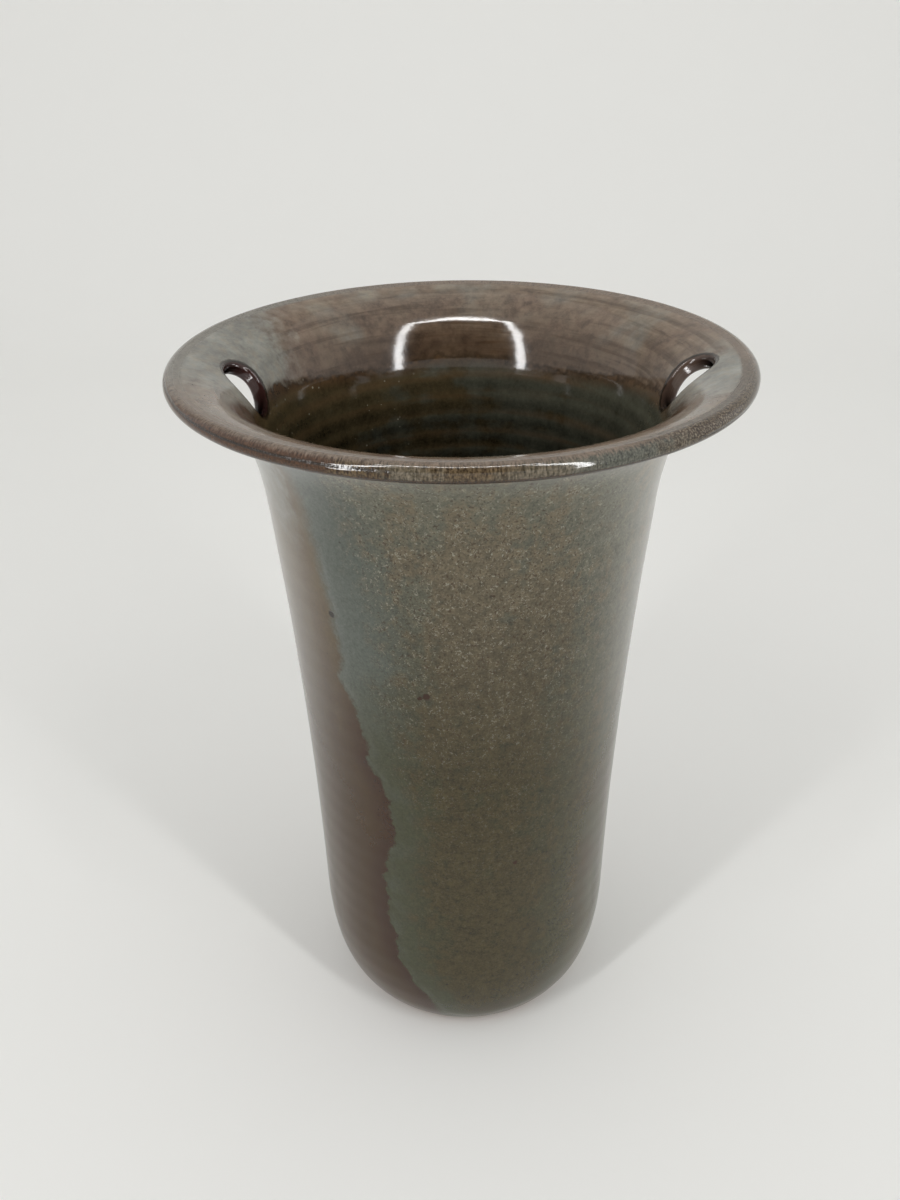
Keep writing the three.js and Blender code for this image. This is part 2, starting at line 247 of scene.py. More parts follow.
class Outline:
    """The glazed surface's outline, with named places along it."""

    HEEL_LEAN = 0.4
    NECK_LEAN = 5
    LIP_TILT = 11.5
    FOOT_EASE = 0.67
    HEEL_EASE = 0.62
    WALL_EASE = 0.35
    NECK_EASE = 0.73
    LIP_EASE = 0.56
    FLOOR_EASE = 0.6
    SAMPLES = 1200

    def __init__(self, sizes):
        self.mm = {name: getattr(sizes, name) / MM for name in VaseSizes.__annotations__}
        stretches = {
            "foot": self.foot(), "wall": self.wall(), "flare": self.flare(), "lip": self.lip(),
            "flare_inside": self.flare_inside(), "wall_inside": self.wall_inside(),
            "floor": self.floor_inside(), "middle": self.floor_middle(),
        }
        first, *others = stretches.values()
        self.points, self.outward = (
            np.vstack([first[part], *(made[part][1:] for made in others)]) for part in (0, 1)
        )
        steps = np.linalg.norm(np.diff(self.points, axis=0), axis=1)
        self.run = np.concatenate([[0], np.cumsum(steps)])
        ends = self.run[::self.SAMPLES - 1]
        self.start = dict(zip(stretches, ends[:-1]))
        self.end = dict(zip(stretches, ends[1:]))
        self.flare_shares = np.linspace(0, 1, self.SAMPLES)
        self.flare_run = self.run_of("flare")
        self.flare_inside_run = self.run_of("flare_inside")[::-1]

    def run_of(self, name):
        """The run at each sample of one stretch."""
        first = np.searchsorted(self.run, self.start[name])
        return self.run[first:first + self.SAMPLES]

    def heel_point(self):
        return np.array([self.mm["heel_radius"], self.mm["heel_height"]])

    def neck_point(self):
        return np.array([self.mm["neck_radius"], self.mm["neck_height"]])

    def foot_controls(self):
        foot, heel = self.mm["foot_radius"], self.heel_point()
        return [
            (foot, 0),
            (foot + self.FOOT_EASE * (heel[0] - foot), 0),
            heel - self.HEEL_EASE * heel[1] * leaning(self.HEEL_LEAN),
            heel,
        ]

    def glaze_share(self):
        """Share of the foot's curve at the glaze line."""
        shares = np.linspace(0, 1, self.SAMPLES)
        points, _ = bezier(self.foot_controls(), shares)
        return float(np.interp(self.mm["glaze_line"], points[:, 1], shares))

    def foot(self):
        return bezier(self.foot_controls(), np.linspace(self.glaze_share(), 1, self.SAMPLES))

    def wall_controls(self):
        heel, neck = self.heel_point(), self.neck_point()
        hold = self.WALL_EASE * (neck[1] - heel[1])
        return [heel, heel + hold * leaning(self.HEEL_LEAN), neck - hold * leaning(self.NECK_LEAN), neck]

    def wall(self):
        return bezier(self.wall_controls(), np.linspace(0, 1, self.SAMPLES))

    def lip_centre(self):
        bead = self.mm["lip_thickness"] / 2
        return np.array([self.mm["lip_radius"] - bead, self.mm["height"] - bead])

    def lip(self):
        """The lip's half circle, from its underside over the crest."""
        start = math.radians(self.LIP_TILT - 90)
        angles = np.linspace(start, start + math.pi, self.SAMPLES)
        outward = np.stack([np.cos(angles), np.sin(angles)], axis=1)
        return self.lip_centre() + outward * self.mm["lip_thickness"] / 2, outward

    def flare_controls(self):
        neck = self.neck_point()
        tilt = math.radians(self.LIP_TILT)
        under = self.lip()[0][0]
        hold = self.NECK_EASE * (self.mm["height"] - self.mm["neck_height"])
        reach = self.LIP_EASE * (under[0] - neck[0])
        return [
            neck,
            neck + hold * leaning(self.NECK_LEAN),
            under - reach * np.array([math.cos(tilt), math.sin(tilt)]),
            under,
        ]

    def flare(self):
        return bezier(self.flare_controls(), np.linspace(0, 1, self.SAMPLES))

    def across(self, controls, low_wall, high_wall):
        """The inside of a stretch, followed downwards."""
        shares = np.linspace(1, 0, self.SAMPLES)
        points, outward = bezier(controls, shares)
        wall = low_wall + (high_wall - low_wall) * shares
        return points - outward * wall[:, None], -outward

    def flare_inside(self):
        return self.across(self.flare_controls(), self.mm["neck_wall"], self.mm["lip_thickness"])

    def wall_inside(self):
        return self.across(self.wall_controls(), self.mm["heel_wall"], self.mm["neck_wall"])

    def floor_inside(self):
        start = self.wall_inside()[0][-1]
        floor, flat = self.mm["floor_thickness"], self.mm["floor_radius"]
        controls = [
            start,
            start - self.FLOOR_EASE * (start[1] - floor) * leaning(self.HEEL_LEAN),
            (flat + self.FLOOR_EASE * (start[0] - flat), floor),
            (flat, floor),
        ]
        return bezier(controls, np.linspace(0, 1, self.SAMPLES))

    def floor_middle(self):
        radii = np.linspace(self.mm["floor_radius"], 0, self.SAMPLES)
        points = np.stack([radii, np.full_like(radii, self.mm["floor_thickness"])], axis=1)
        return points, np.tile([0.0, 1.0], (self.SAMPLES, 1))

    def at(self, run):
        """Radius, height and the two parts of the outward direction at runs."""
        return [np.interp(run, self.run, column) for column in (*self.points.T, *self.outward.T)]

    def flare_runs(self, share):
        """Runs on the outside and on the inside at a share of the way up the flare."""
        outside = np.interp(share, self.flare_shares, self.flare_run)
        inside = np.interp(share, self.flare_shares, self.flare_inside_run)
        return outside, inside

    def share_at_drop(self, drop):
        """Share of the way up the flare at a distance down the inside from the lip."""
        return np.interp(self.end["lip"] + drop, self.flare_inside_run[::-1], self.flare_shares[::-1])

    def rows(self, name, spacing):
        """Evenly spaced runs along a stretch, without its first point."""
        count = max(2, round((self.end[name] - self.start[name]) / spacing))
        return np.linspace(self.start[name], self.end[name], count + 1)[1:]


# The marks on the surface, as a height in mm over the outline.

def fade(value, low, high):
    """0 below low, 1 above high, and a smooth step between."""
    share = np.clip((np.asarray(value, float) - low) / (high - low), 0, 1)
    return share * share * (3 - 2 * share)


def window(value, low, high, soft):
    """1 between low and high, and 0 outside, with soft ends."""
    return fade(value, low - soft, low + soft) * (1 - fade(value, high - soft, high + soft))


def lumps(turn, run, seed, waves_round, waves_along, count=14):
    """Soft random unevenness, between about -1 and 1, that closes on itself round the vase."""
    chance = np.random.default_rng(seed)
    total = np.zeros(np.broadcast(turn, run).shape)
    for _ in range(count):
        around = chance.integers(1, waves_round + 1)
        along = chance.uniform(-waves_along, waves_along)
        total += np.sin(around * np.radians(turn) + 2 * math.pi * along * run + chance.uniform(0, 6.28))
    return total / math.sqrt(count)


class Marks:
    """The marks of throwing and firing, as heights over the outline."""

    # From one mark to the next, in mm.
    WALL_PITCH = 8.6
    FLARE_PITCHES = (5.3, 3.1)

    def __init__(self, outline, marks):
        self.outline = outline
        lengths = [name for name in HandMarks.__annotations__ if name != "columns"]
        self.mm = {name: getattr(marks, name) / MM for name in lengths}

    def ring(self, turn, run):
        """0 in a groove and 1 on a ridge of the throwing spiral inside."""
        wander = 0.16 * lumps(turn, run, *RING_WANDER)
        phase = (run - self.outline.start["wall_inside"]) / self.mm["ring_pitch"] - turn / 360 + wander
        return (0.5 + 0.5 * np.cos(2 * math.pi * phase)) ** 1.6

    def height(self, turn, run):
        start, end = self.outline.start, self.outline.end
        outside = 1 - fade(run, end["flare"] - 6, end["flare"])
        inside = window(run, start["flare_inside"] + 4, start["wall_inside"], 4)
        throat = fade(run, start["wall_inside"] - 2, start["wall_inside"] + 22)
        middle = 1 - fade(run, end["middle"] - 7, end["middle"] - 1)
        lip = window(run, start["lip"] - 2, end["lip"] + 4, 3)
        spiral = np.sin(2 * math.pi * (run / self.WALL_PITCH - turn / 360))
        wall_marks = 0.55 * spiral + lumps(turn, run, *WALL_LUMPS)
        wide, narrow = (2 * math.pi * run / pitch for pitch in self.FLARE_PITCHES)
        flare_marks = (
            0.6 * np.sin(wide + 0.6 * np.sin(np.radians(turn)))
            + 0.5 * np.sin(narrow + 1.1) + 0.5 * lumps(turn, run, *FLARE_LUMPS)
        )
        rings = self.ring(turn, run) - 0.55 + 0.15 * lumps(turn, run, *RING_LUMPS)
        height = self.mm["wall_ripple"] * wall_marks * outside
        height += self.mm["flare_ripple"] * flare_marks * inside
        height += throat * middle * self.mm["ring_depth"] * rings
        height += self.mm["lip_lumps"] * (lumps(turn, run, *LIP_LUMPS) - 2.6) * lip
        return height


def turned(radius, height, turn):
    """Points at a distance from the axis, a height and a turn."""
    sine, cosine = np.sin(np.radians(turn)), np.cos(np.radians(turn))
    return np.stack(np.broadcast_arrays(radius * sine, -radius * cosine, height), axis=-1)


def surface_points(outline, marks, turn, run, lift=0.0):
    """Points of the glazed surface in mm, moved out of it by lift."""
    radius, height, out_radius, out_height = outline.at(run)
    over = marks.height(turn, run) + lift
    return turned(radius + out_radius * over, height + out_height * over, turn)


def surface_normals(outline, marks, turn, run, lift):
    """Directions out of the marked surface, from small steps round it and along it."""
    step = 0.05

    def point(turn, run):
        return surface_points(outline, marks, turn, run, lift(turn, run))

    before, after = (np.clip(run + side * step, 0, outline.run[-1]) for side in (-1, 1))
    across = point(turn + step, run) - point(turn - step, run)
    normals = np.cross(across, point(turn, after) - point(turn, before))
    size = np.linalg.norm(normals, axis=-1, keepdims=True)
    return np.where(size > 1e-9, normals / np.maximum(size, 1e-9), [0.0, 0.0, 1.0])


# Where the second glaze lies.

def edge_turn(edge, height):
    """Turn of an edge of the second glaze at heights, with the small bays of a real edge."""
    heights, turns = np.array(edge, float).T
    bays = 0.7 * np.sin(height * 0.37 + 1.3) + 0.5 * np.sin(height * 0.61 + 0.4)
    strength = np.interp(height, [0, 30, 140, 200], [0, 1, 0.8, 0.3])
    return np.interp(height, heights, turns) + bays * strength


def pour_reach(outline, turn, run):
    """Distance in mm inside the second glaze's edges; negative outside them."""
    radius, height, _, _ = outline.at(run)
    turn = (turn + 180) % 360 - 180
    per_degree = np.maximum(radius, 1) * math.pi / 180
    outside = np.minimum(turn - edge_turn(POUR_LEFT, height), edge_turn(POUR_RIGHT, height) - turn)
    lip, low = outline.end["lip"], outline.end["flare_inside"]
    down = np.clip((run - lip) / (low - lip), 0, 1)
    inside = np.full(np.broadcast(turn, run).shape, FAR_OUTSIDE)
    for patch in RIM_PATCHES:
        start = patch["start"] + patch["start_shift"] * down
        end = patch["end"] + patch["end_shift"] * down
        inside = np.maximum(inside, np.minimum(turn - start, end - turn))
    over_lip = fade(run, outline.start["lip"], outline.end["lip"])
    return per_degree * (outside * (1 - over_lip) + inside * over_lip)


# Meshes.

# A point's distance from the cut-outs in mm, where it is nowhere near one and where it is inside one.
FAR_FROM_CUT = 20.0
INSIDE_CUT = -2.0

# How far two layers lie apart, and how far the bare clay lies in under the glaze line, in mm.
LAYER_GAP = 0.05
BARE_STEP = 0.25

# Trimming rings under the foot: height and distance apart in mm, and a shift.
TRIM_RINGS = ((0.06, 1.7, 0), (0.05, 0.9, 1))

# Distances between the rows of points in mm, and the closer rows just above the glaze line.
SPACING = {"foot": 1.8, "wall": 2, "lip": 0.55, "wall_inside": 1.25, "floor": 1.4, "middle": 1.5}
FLARE_SPACING = 1.3
FIRST_ROWS = (0, 0.35, 0.8, 1.4)

# Rings of faces round a cut-out, as shares of the way from its edge to the block that it fills.
PATCH_SHARES = (0.82, 0.64, 0.46, 0.28, 0.12, 0.0)


def ring_faces(outer, inner):
    """Faces between rows of points that go all the way round."""
    return np.stack([outer, np.roll(outer, -1, -1), np.roll(inner, -1, -1), inner], axis=-1)


class Sheet:
    """Points with directions out of them, faces between them, and what the finishes read."""

    def __init__(self, points, normals, quads, triangles, values):
        self.points = points
        self.normals = normals
        self.quads = quads
        self.triangles = triangles
        self.values = values

    def part(self, quads, triangles):
        """A sheet of some of the faces, with only the points that they use."""
        used = np.unique(np.concatenate([quads.ravel(), triangles.ravel()]))
        place = np.full(len(self.points), -1)
        place[used] = np.arange(len(used))
        values = {name: value[used] for name, value in self.values.items()}
        return Sheet(self.points[used], self.normals[used], place[quads], place[triangles], values)

    def open_edges(self):
        """Edges that only one face uses, in that face's direction."""
        edges = np.vstack([faces[:, [corner, (corner + 1) % faces.shape[1]]]
                           for faces in (self.quads, self.triangles) for corner in range(faces.shape[1])])
        size = len(self.points)
        forward = edges[:, 0] * size + edges[:, 1]
        backward = edges[:, 1] * size + edges[:, 0]
        return edges[~np.isin(forward, backward)]

    def piece(self, name):
        """A mesh object of the sheet, which closes on itself."""
        normals = [self.normals[faces.ravel()] for faces in (self.quads, self.triangles)]
        return mesh_object(name, self.points, self.quads, self.triangles, np.vstack(normals), self.values)

    def thick_piece(self, name, thickness):
        """A closed mesh object: the sheet, a back that far under it, and flat walls along its open edges."""
        size = len(self.points)
        points = np.vstack([self.points, self.points - self.normals * thickness])
        smooth = np.vstack([self.normals, -self.normals])
        quads = np.vstack([self.quads, self.quads[:, ::-1] + size])
        triangles = np.vstack([self.triangles, self.triangles[:, ::-1] + size])
        start, end = self.open_edges().T
        walls = np.stack([end, start, start + size, end + size], axis=1)
        corners = points[walls]
        flat = unit(np.cross(corners[:, 2] - corners[:, 0], corners[:, 3] - corners[:, 1]))
        normals = np.vstack([smooth[quads.ravel()], np.repeat(flat, 4, axis=0), smooth[triangles.ravel()]])
        values = {key: np.tile(value, 2) for key, value in self.values.items()}
        return mesh_object(name, points, np.vstack([quads, walls]), triangles, normals, values)


def mesh_object(name, points, quads, triangles, normals, values):
    """A mesh object from arrays: points in mm, and one normal for each corner of each face."""
    mesh = bpy.data.meshes.new(name)
    corners = np.concatenate([quads.ravel(), triangles.ravel()]).astype(np.int32)
    quad_starts = np.arange(len(quads)) * 4
    triangle_starts = len(quads) * 4 + np.arange(len(triangles)) * 3
    starts = np.concatenate([quad_starts, triangle_starts]).astype(np.int32)
    mesh.vertices.add(len(points))
    mesh.vertices.foreach_set("co", (points * MM).astype(np.float32).ravel())
    mesh.loops.add(len(corners))
    mesh.loops.foreach_set("vertex_index", corners)
    mesh.polygons.add(len(starts))
    mesh.polygons.foreach_set("loop_start", starts)
    mesh.polygons.foreach_set("use_smooth", np.ones(len(starts), bool))
    for key, value in values.items():
        attribute = mesh.attributes.new(key, "FLOAT", "POINT")
        attribute.data.foreach_set("value", value.astype(np.float32))
    mesh.update(calc_edges=True)
    if mesh.validate():
        raise RuntimeError(f"the mesh of {name} had faults")
    mesh.normals_split_custom_set(normals.tolist())
    return linked(bpy.data.objects.new(name, mesh))


def linked(made):
    """The object, put in the scene."""
    bpy.context.scene.collection.objects.link(made)
    return made


class Cutout:
    """One oval through the flare, with its sizes in mm and its turn in degrees."""

    MARGIN = 3.2
    EDGE_STEPS = 5

    def __init__(self, turn, drop, width, size, softening, outline):
        self.turn = turn
        self.drop = drop
        self.half_width = width / 2
        self.half_length = size / 2
        self.softening = softening
        self.outline = outline
        _, inside = outline.flare_runs(outline.share_at_drop(drop))
        self.per_degree = outline.at(inside)[0] * math.pi / 180

    def widen(self, amount):
        self.half_width += amount
        self.half_length += amount

    def drops(self, shares):
        """Distances down the inside from the lip at shares of the way up the flare."""
        _, inside = self.outline.flare_runs(shares)
        return inside - self.outline.end["lip"]

    def oval(self, around, widening):
        """Turns and drops at angles round the oval, widened all over."""
        turn = self.turn + (self.half_width + widening) * np.cos(around) / self.per_degree
        return turn, self.drop + (self.half_length + widening) * np.sin(around)

    def block(self, turns, shares):
        """Columns and flare rows of the rectangle of faces that makes room for the oval."""
        across = self.half_width + self.softening + self.MARGIN
        along = self.half_length + self.softening + self.MARGIN
        columns = np.nonzero(np.abs(turns - self.turn) * self.per_degree <= across)[0]
        rows = np.nonzero(np.abs(self.drops(shares) - self.drop) <= along)[0]
        return columns[0] - 1, columns[-1] + 1, rows[0] - 1, rows[-1] + 1

    def tunnel(self):
        """For each ring of the way through: share of the wall, widening, angle of its edge, and side."""
        wall = (self.outline.mm["neck_wall"] + self.outline.mm["lip_thickness"]) / 2
        near = []
        for bend in np.linspace(math.pi / 2, 0, self.EDGE_STEPS + 1)[1:]:
            depth, widening = (self.softening * (1 - part) for part in (math.sin(bend), math.cos(bend)))
            near.append((depth / wall, widening, bend, 0))
        return near + [(1 - share, widening, bend, 1) for share, widening, bend, _ in near[::-1]]


class Gathered:
    """Points of the surface in the making: turn, run outside, run inside, share between, and cut."""

    def __init__(self, outline):
        self.outline = outline
        self.arrays = []
        self.count = 0

    def add(self, turn, *others):
        """Takes up an array of points, and returns their numbers."""
        first = self.count
        self.count += turn.size
        self.arrays.append([np.broadcast_to(value, turn.shape).ravel() for value in (turn, *others)])
        return np.arange(first, self.count).reshape(turn.shape)

    def ring(self, turn, drop, share, cut):
        """Takes up points of the flare at drops from the lip."""
        return self.add(turn, *self.outline.flare_runs(self.outline.share_at_drop(drop)), share, cut)

    def all(self):
        return [np.concatenate(arrays) for arrays in zip(*self.arrays)]


class Grid:
    """Columns and rows of the surface. Both faces of the flare share their rows, so that a cut-out's
    block has the same rows on both."""

    def __init__(self, outline, columns, fineness):
        self.turns = -180 + 360 * np.arange(columns) / columns
        flare_length = outline.end["flare_inside"] - outline.start["flare_inside"]
        flare_rows = round(flare_length / (FLARE_SPACING * fineness))
        self.shares = outline.share_at_drop(np.linspace(flare_length, 0, flare_rows + 1))
        outside, inside = outline.flare_runs(self.shares)
        rows = {name: outline.rows(name, spacing * fineness) for name, spacing in SPACING.items()}
        self.rows = np.concatenate([
            FIRST_ROWS, rows["foot"][1:], rows["wall"], outside[1:], rows["lip"], inside[::-1][1:],
            rows["wall_inside"], rows["floor"], rows["middle"][:-1],
        ])
        self.first_flare = int(np.argmin(np.abs(self.rows - outline.start["flare"])))
        self.last_inside = int(np.argmin(np.abs(self.rows - outline.start["flare_inside"]))) + flare_rows
        self.keep = np.ones((len(self.rows) - 1, columns), bool)

    def clear_block(self, cutout, numbers):
        """Takes faces away for a cut-out. Returns the loops of points round the two gaps, outside and
        inside, and the turns and drops of those points."""
        left, right, low, high = cutout.block(self.turns, self.shares)
        self.keep[self.first_flare + low:self.first_flare + high, left:right] = False
        self.keep[self.last_inside - high:self.last_inside - low, left:right] = False
        columns = np.concatenate([np.arange(left, right), np.full(high - low, right),
                                  np.arange(right, left, -1), np.full(high - low, left)])
        rows = np.concatenate([np.full(right - left, low), np.arange(low, high),
                               np.full(right - left, high), np.arange(high, low, -1)])
        loops = numbers[self.first_flare + rows, columns], numbers[self.last_inside - rows, columns]
        return loops, self.turns[columns], cutout.drops(self.shares[rows])


def cut_through(cutout, grid, gathered, numbers):
    """Faces round an oval on both sides of the flare, and of the way through with its rounded edges.

    With them come that way's rings: their points, the direction into the oval, the angle and the side.
    """
    loops, block_turn, block_drop = grid.clear_block(cutout, numbers)
    across = (block_turn - cutout.turn) * cutout.per_degree
    along = block_drop - cutout.drop
    around = np.arctan2(along / np.abs(along).max(), across / np.abs(across).max())
    rim_turn, rim_drop = cutout.oval(around, cutout.softening)
    bands = []
    for side, loop in enumerate(loops):
        band = [loop]
        for share in PATCH_SHARES:
            turn = rim_turn + (block_turn - rim_turn) * share
            drop = rim_drop + (block_drop - rim_drop) * share
            reach = np.hypot((turn - rim_turn) * cutout.per_degree, drop - rim_drop)
            band.append(gathered.ring(turn, drop, side, reach))
        bands.append(band)
    inward = unit(np.stack([-np.cos(around) / cutout.half_width, -np.sin(around) / cutout.half_length], 1))
    rings = []
    for share, widening, bend, side in cutout.tunnel():
        ring = gathered.ring(*cutout.oval(around, widening), share, math.cos(bend) * INSIDE_CUT)
        rings.append((ring, inward, bend, side))
    bands.append([bands[0][-1], *(ring for ring, *_ in rings), bands[1][-1]])
    faces = []
    for band, turned_over in zip(bands, (False, True, False)):
        for outer, inner in zip(band[:-1], band[1:]):
            quads = ring_faces(outer, inner)
            faces.append(quads[:, ::-1] if turned_over else quads)
    return faces, rings


def vase_sheet(outline, marks, cutouts, columns, fineness=1.0, lift=lambda turn, run: 0.0, wander=1.0):
    """The whole glazed surface as one sheet, and which of its faces belong to which coat."""
    grid = Grid(outline, columns, fineness)
    turn, run = np.meshgrid(grid.turns, grid.rows)
    wave = wander * marks.mm["line_wave"] * lumps(turn, run * 0, *LINE_WAVE)
    run = np.clip(run + wave * (1 - fade(run, 2, 14)), 0, None)
    gathered = Gathered(outline)
    numbers = gathered.add(turn, run, run, 0, FAR_FROM_CUT)
    cut_quads = []
    cut_rings = []
    for cutout in cutouts:
        faces, rings = cut_through(cutout, grid, gathered, numbers)
        cut_quads += faces
        cut_rings += rings

    turn, outside, inside, share, cut = gathered.all()
    points = (surface_points(outline, marks, turn, outside, lift(turn, outside)) * (1 - share[:, None])
              + surface_points(outline, marks, turn, inside, lift(turn, inside)) * share[:, None])
    run = np.where(share < 0.5, outside, inside)
    normals = surface_normals(outline, marks, turn, run, lift)
    for ring, inward, bend, side in cut_rings:
        face = normals[ring]
        sideways = turned(1.0, 0.0, turn[ring] + 90)
        downwards = np.cross(sideways, face) * (1 if side else -1)
        lean = sideways * inward[:, :1] + downwards * inward[:, 1:]
        normals[ring] = unit(face * math.sin(bend) + lean * math.cos(bend))

    # One point closes the inside floor.
    pole = len(points)
    points = np.vstack([points, surface_points(outline, marks, np.zeros(1), outline.run[-1:])])
    normals = np.vstack([normals, [[0.0, 0.0, 1.0]]])
    turn = np.append(turn, 0.0)
    run = np.append(run, outline.run[-1])
    last = numbers[-1]
    triangles = np.stack([last, np.roll(last, -1), np.full(columns, pole)], axis=1)
    quads = ring_faces(numbers[:-1], numbers[1:])
    coats = {}
    for name, rows in (("base", slice(grid.first_flare)), ("rim", slice(grid.first_flare, grid.last_inside)),
                       ("liner", slice(grid.last_inside, None))):
        coats[name] = quads[rows][grid.keep[rows]]
    coats["rim"] = np.vstack([coats["rim"], *cut_quads])
    values = {
        "run": run,
        "pour": pour_reach(outline, turn, run),
        "ring": marks.ring(turn, run),
        "cut": np.append(cut, FAR_FROM_CUT),
    }
    return Sheet(points, normals, np.vstack(list(coats.values())), triangles, values), coats


def glaze_coats(outline, marks, cutouts, columns):
    """The sheets of the base, rim and liner coats, cut from one continuous surface."""
    whole, coats = vase_sheet(outline, marks, cutouts, columns)
    none = whole.triangles[:0]
    return {f"{name}_glaze_coat": whole.part(quads, whole.triangles if name == "liner" else none)
            for name, quads in coats.items()}


def run_at_height(outline, height):
    """Run on the outside at a height."""
    last = np.searchsorted(outline.run, outline.start["lip"])
    return float(np.interp(height, outline.points[:last, 1], outline.run[:last]))


def pour_sheet(outline, marks):
    """The second glaze over the first: a sheet with a rounded, ragged edge."""
    low = run_at_height(outline, outline.mm["pour_low"])
    high = run_at_height(outline, outline.mm["pour_high"])
    thick, edge = marks.mm["pour_coat"], marks.mm["pour_edge"]
    columns, band = 88, 5
    fine = np.array([0, 0.25, 0.55, 0.95, 1.5, 2.2, 3.2])
    middle_rows = np.linspace(low + band, high - band, round((high - low - 2 * band) / 1.8))
    rows = np.concatenate([low + fine, middle_rows, high - fine[::-1]])

    def bottom_wave(turn):
        return 1.1 * lumps(turn, 0.0, *POUR_WAVE)

    def edges(run):
        radius, height, _, _ = outline.at(run)
        return edge_turn(POUR_LEFT, height), edge_turn(POUR_RIGHT, height), radius * math.pi / 180

    def lift(turn, run):
        left, right, per_degree = edges(run)
        reach = np.minimum((turn - left) * per_degree, (right - turn) * per_degree)
        reach = np.minimum(reach, run - low - bottom_wave(turn))
        settled = 1 - fade(run, high - 16, high - 1)
        return -LAYER_GAP + (LAYER_GAP + thick) * fade(reach, 0, edge) * settled - 0.04 * (1 - settled)

    left, right, per_degree = (side[:, None] for side in edges(rows))
    from_left = left + fine / per_degree
    from_right = right - fine[::-1] / per_degree
    share = np.linspace(0, 1, columns)[1:-1]
    between = from_left[:, -1:] * (1 - share) + from_right[:, :1] * share
    turn = np.hstack([from_left, between, from_right])
    run = np.repeat(rows[:, None], turn.shape[1], axis=1)
    run = run + bottom_wave(turn) * (1 - fade(run, low, low + 30))
    points = surface_points(outline, marks, turn, run, lift(turn, run)).reshape(-1, 3)
    normals = surface_normals(outline, marks, turn, run, lift).reshape(-1, 3)
    index = np.arange(turn.size).reshape(turn.shape)
    quads = np.stack([index[:-1, :-1], index[:-1, 1:], index[1:, 1:], index[1:, :-1]], axis=-1)
    turn, run = turn.ravel(), run.ravel()
    values = {
        "run": run,
        "pour": pour_reach(outline, turn, run),
        "ring": np.zeros(turn.size),
        "cut": np.full(turn.size, FAR_FROM_CUT),
    }
    return Sheet(points, normals, quads.reshape(-1, 4), np.zeros((0, 3), int), values)


def foot_outline(outline):
    """The bare clay's outline from the glaze line down, over the foot ring and in to the recess."""
    mm = outline.mm
    steps, ease = 9, 0.6
    curve, out = bezier(outline.foot_controls(), np.linspace(outline.glaze_share(), 0, steps))
    curve = curve - out * BARE_STEP * np.linspace(1, 0, steps)[:, None] ** 2
    inner = mm["foot_radius"] - mm["foot_ring"]
    ring = np.stack([np.linspace(mm["foot_radius"], inner + ease, 6), np.zeros(6)], axis=1)
    share = np.linspace(0, 1, 8)
    slope = [inner + ease - (mm["recess_slope"] + ease) * share, mm["foot_recess"] * fade(share, 0, 1)]
    radii = np.linspace(inner - mm["recess_slope"], 1, 60)
    trimmed = sum(depth * np.sin(2 * math.pi * radii / pitch + shift) for depth, pitch, shift in TRIM_RINGS)
    flat = [radii, mm["foot_recess"] + trimmed * fade(26 - radii, 0, 2)]
    return np.vstack([curve, ring[1:], np.stack(slope, axis=1)[1:], np.stack(flat, axis=1)[1:]])


def clay_sheet(outline, marks, cutouts, columns):
    """The clay under the coats, closed, with its bare and trimmed foot."""
    sunk = marks.mm["coat"] + LAYER_GAP

    def lift(turn, run):
        return -BARE_STEP - (sunk - BARE_STEP) * fade(run, 1.0, 7.0) + 0.0 * turn

    whole, coats = vase_sheet(outline, marks, cutouts, columns, 2.0, lift, 0.0)
    profile = foot_outline(outline)
    run_down = np.cumsum(np.linalg.norm(np.diff(profile, axis=0), axis=1))
    along = np.gradient(profile, axis=0)[1:]
    out = unit(np.stack([-along[:, 1], along[:, 0]], axis=1))
    out *= np.where(out[:, 1:] > 0, -1, 1)
    profile = profile[1:]
    turns = -180 + 360 * np.arange(columns) / columns
    foot_points = turned(profile[:, :1], profile[:, 1:], turns).reshape(-1, 3)
    foot_normals = turned(out[:, :1], out[:, 1:], turns).reshape(-1, 3)
    start = len(whole.points)
    pole = start + len(foot_points)
    index = np.vstack([np.arange(columns), np.arange(start, pole).reshape(-1, columns)])
    last = index[-1]
    fan = np.stack([np.roll(last, -1), last, np.full(columns, pole)], axis=1)
    points = np.vstack([whole.points, foot_points, [[0, 0, outline.mm["foot_recess"]]]])
    normals = np.vstack([whole.normals, foot_normals, [[0, 0, -1.0]]])
    under_middle = -60
    values = {"run": np.concatenate([whole.values["run"], np.repeat(-run_down, columns), [under_middle]])}
    quads = np.vstack([*coats.values(), ring_faces(index[1:], index[:-1]).reshape(-1, 4)])
    return Sheet(points, normals, quads, np.vstack([whole.triangles, fan]), values)


# Finishes.

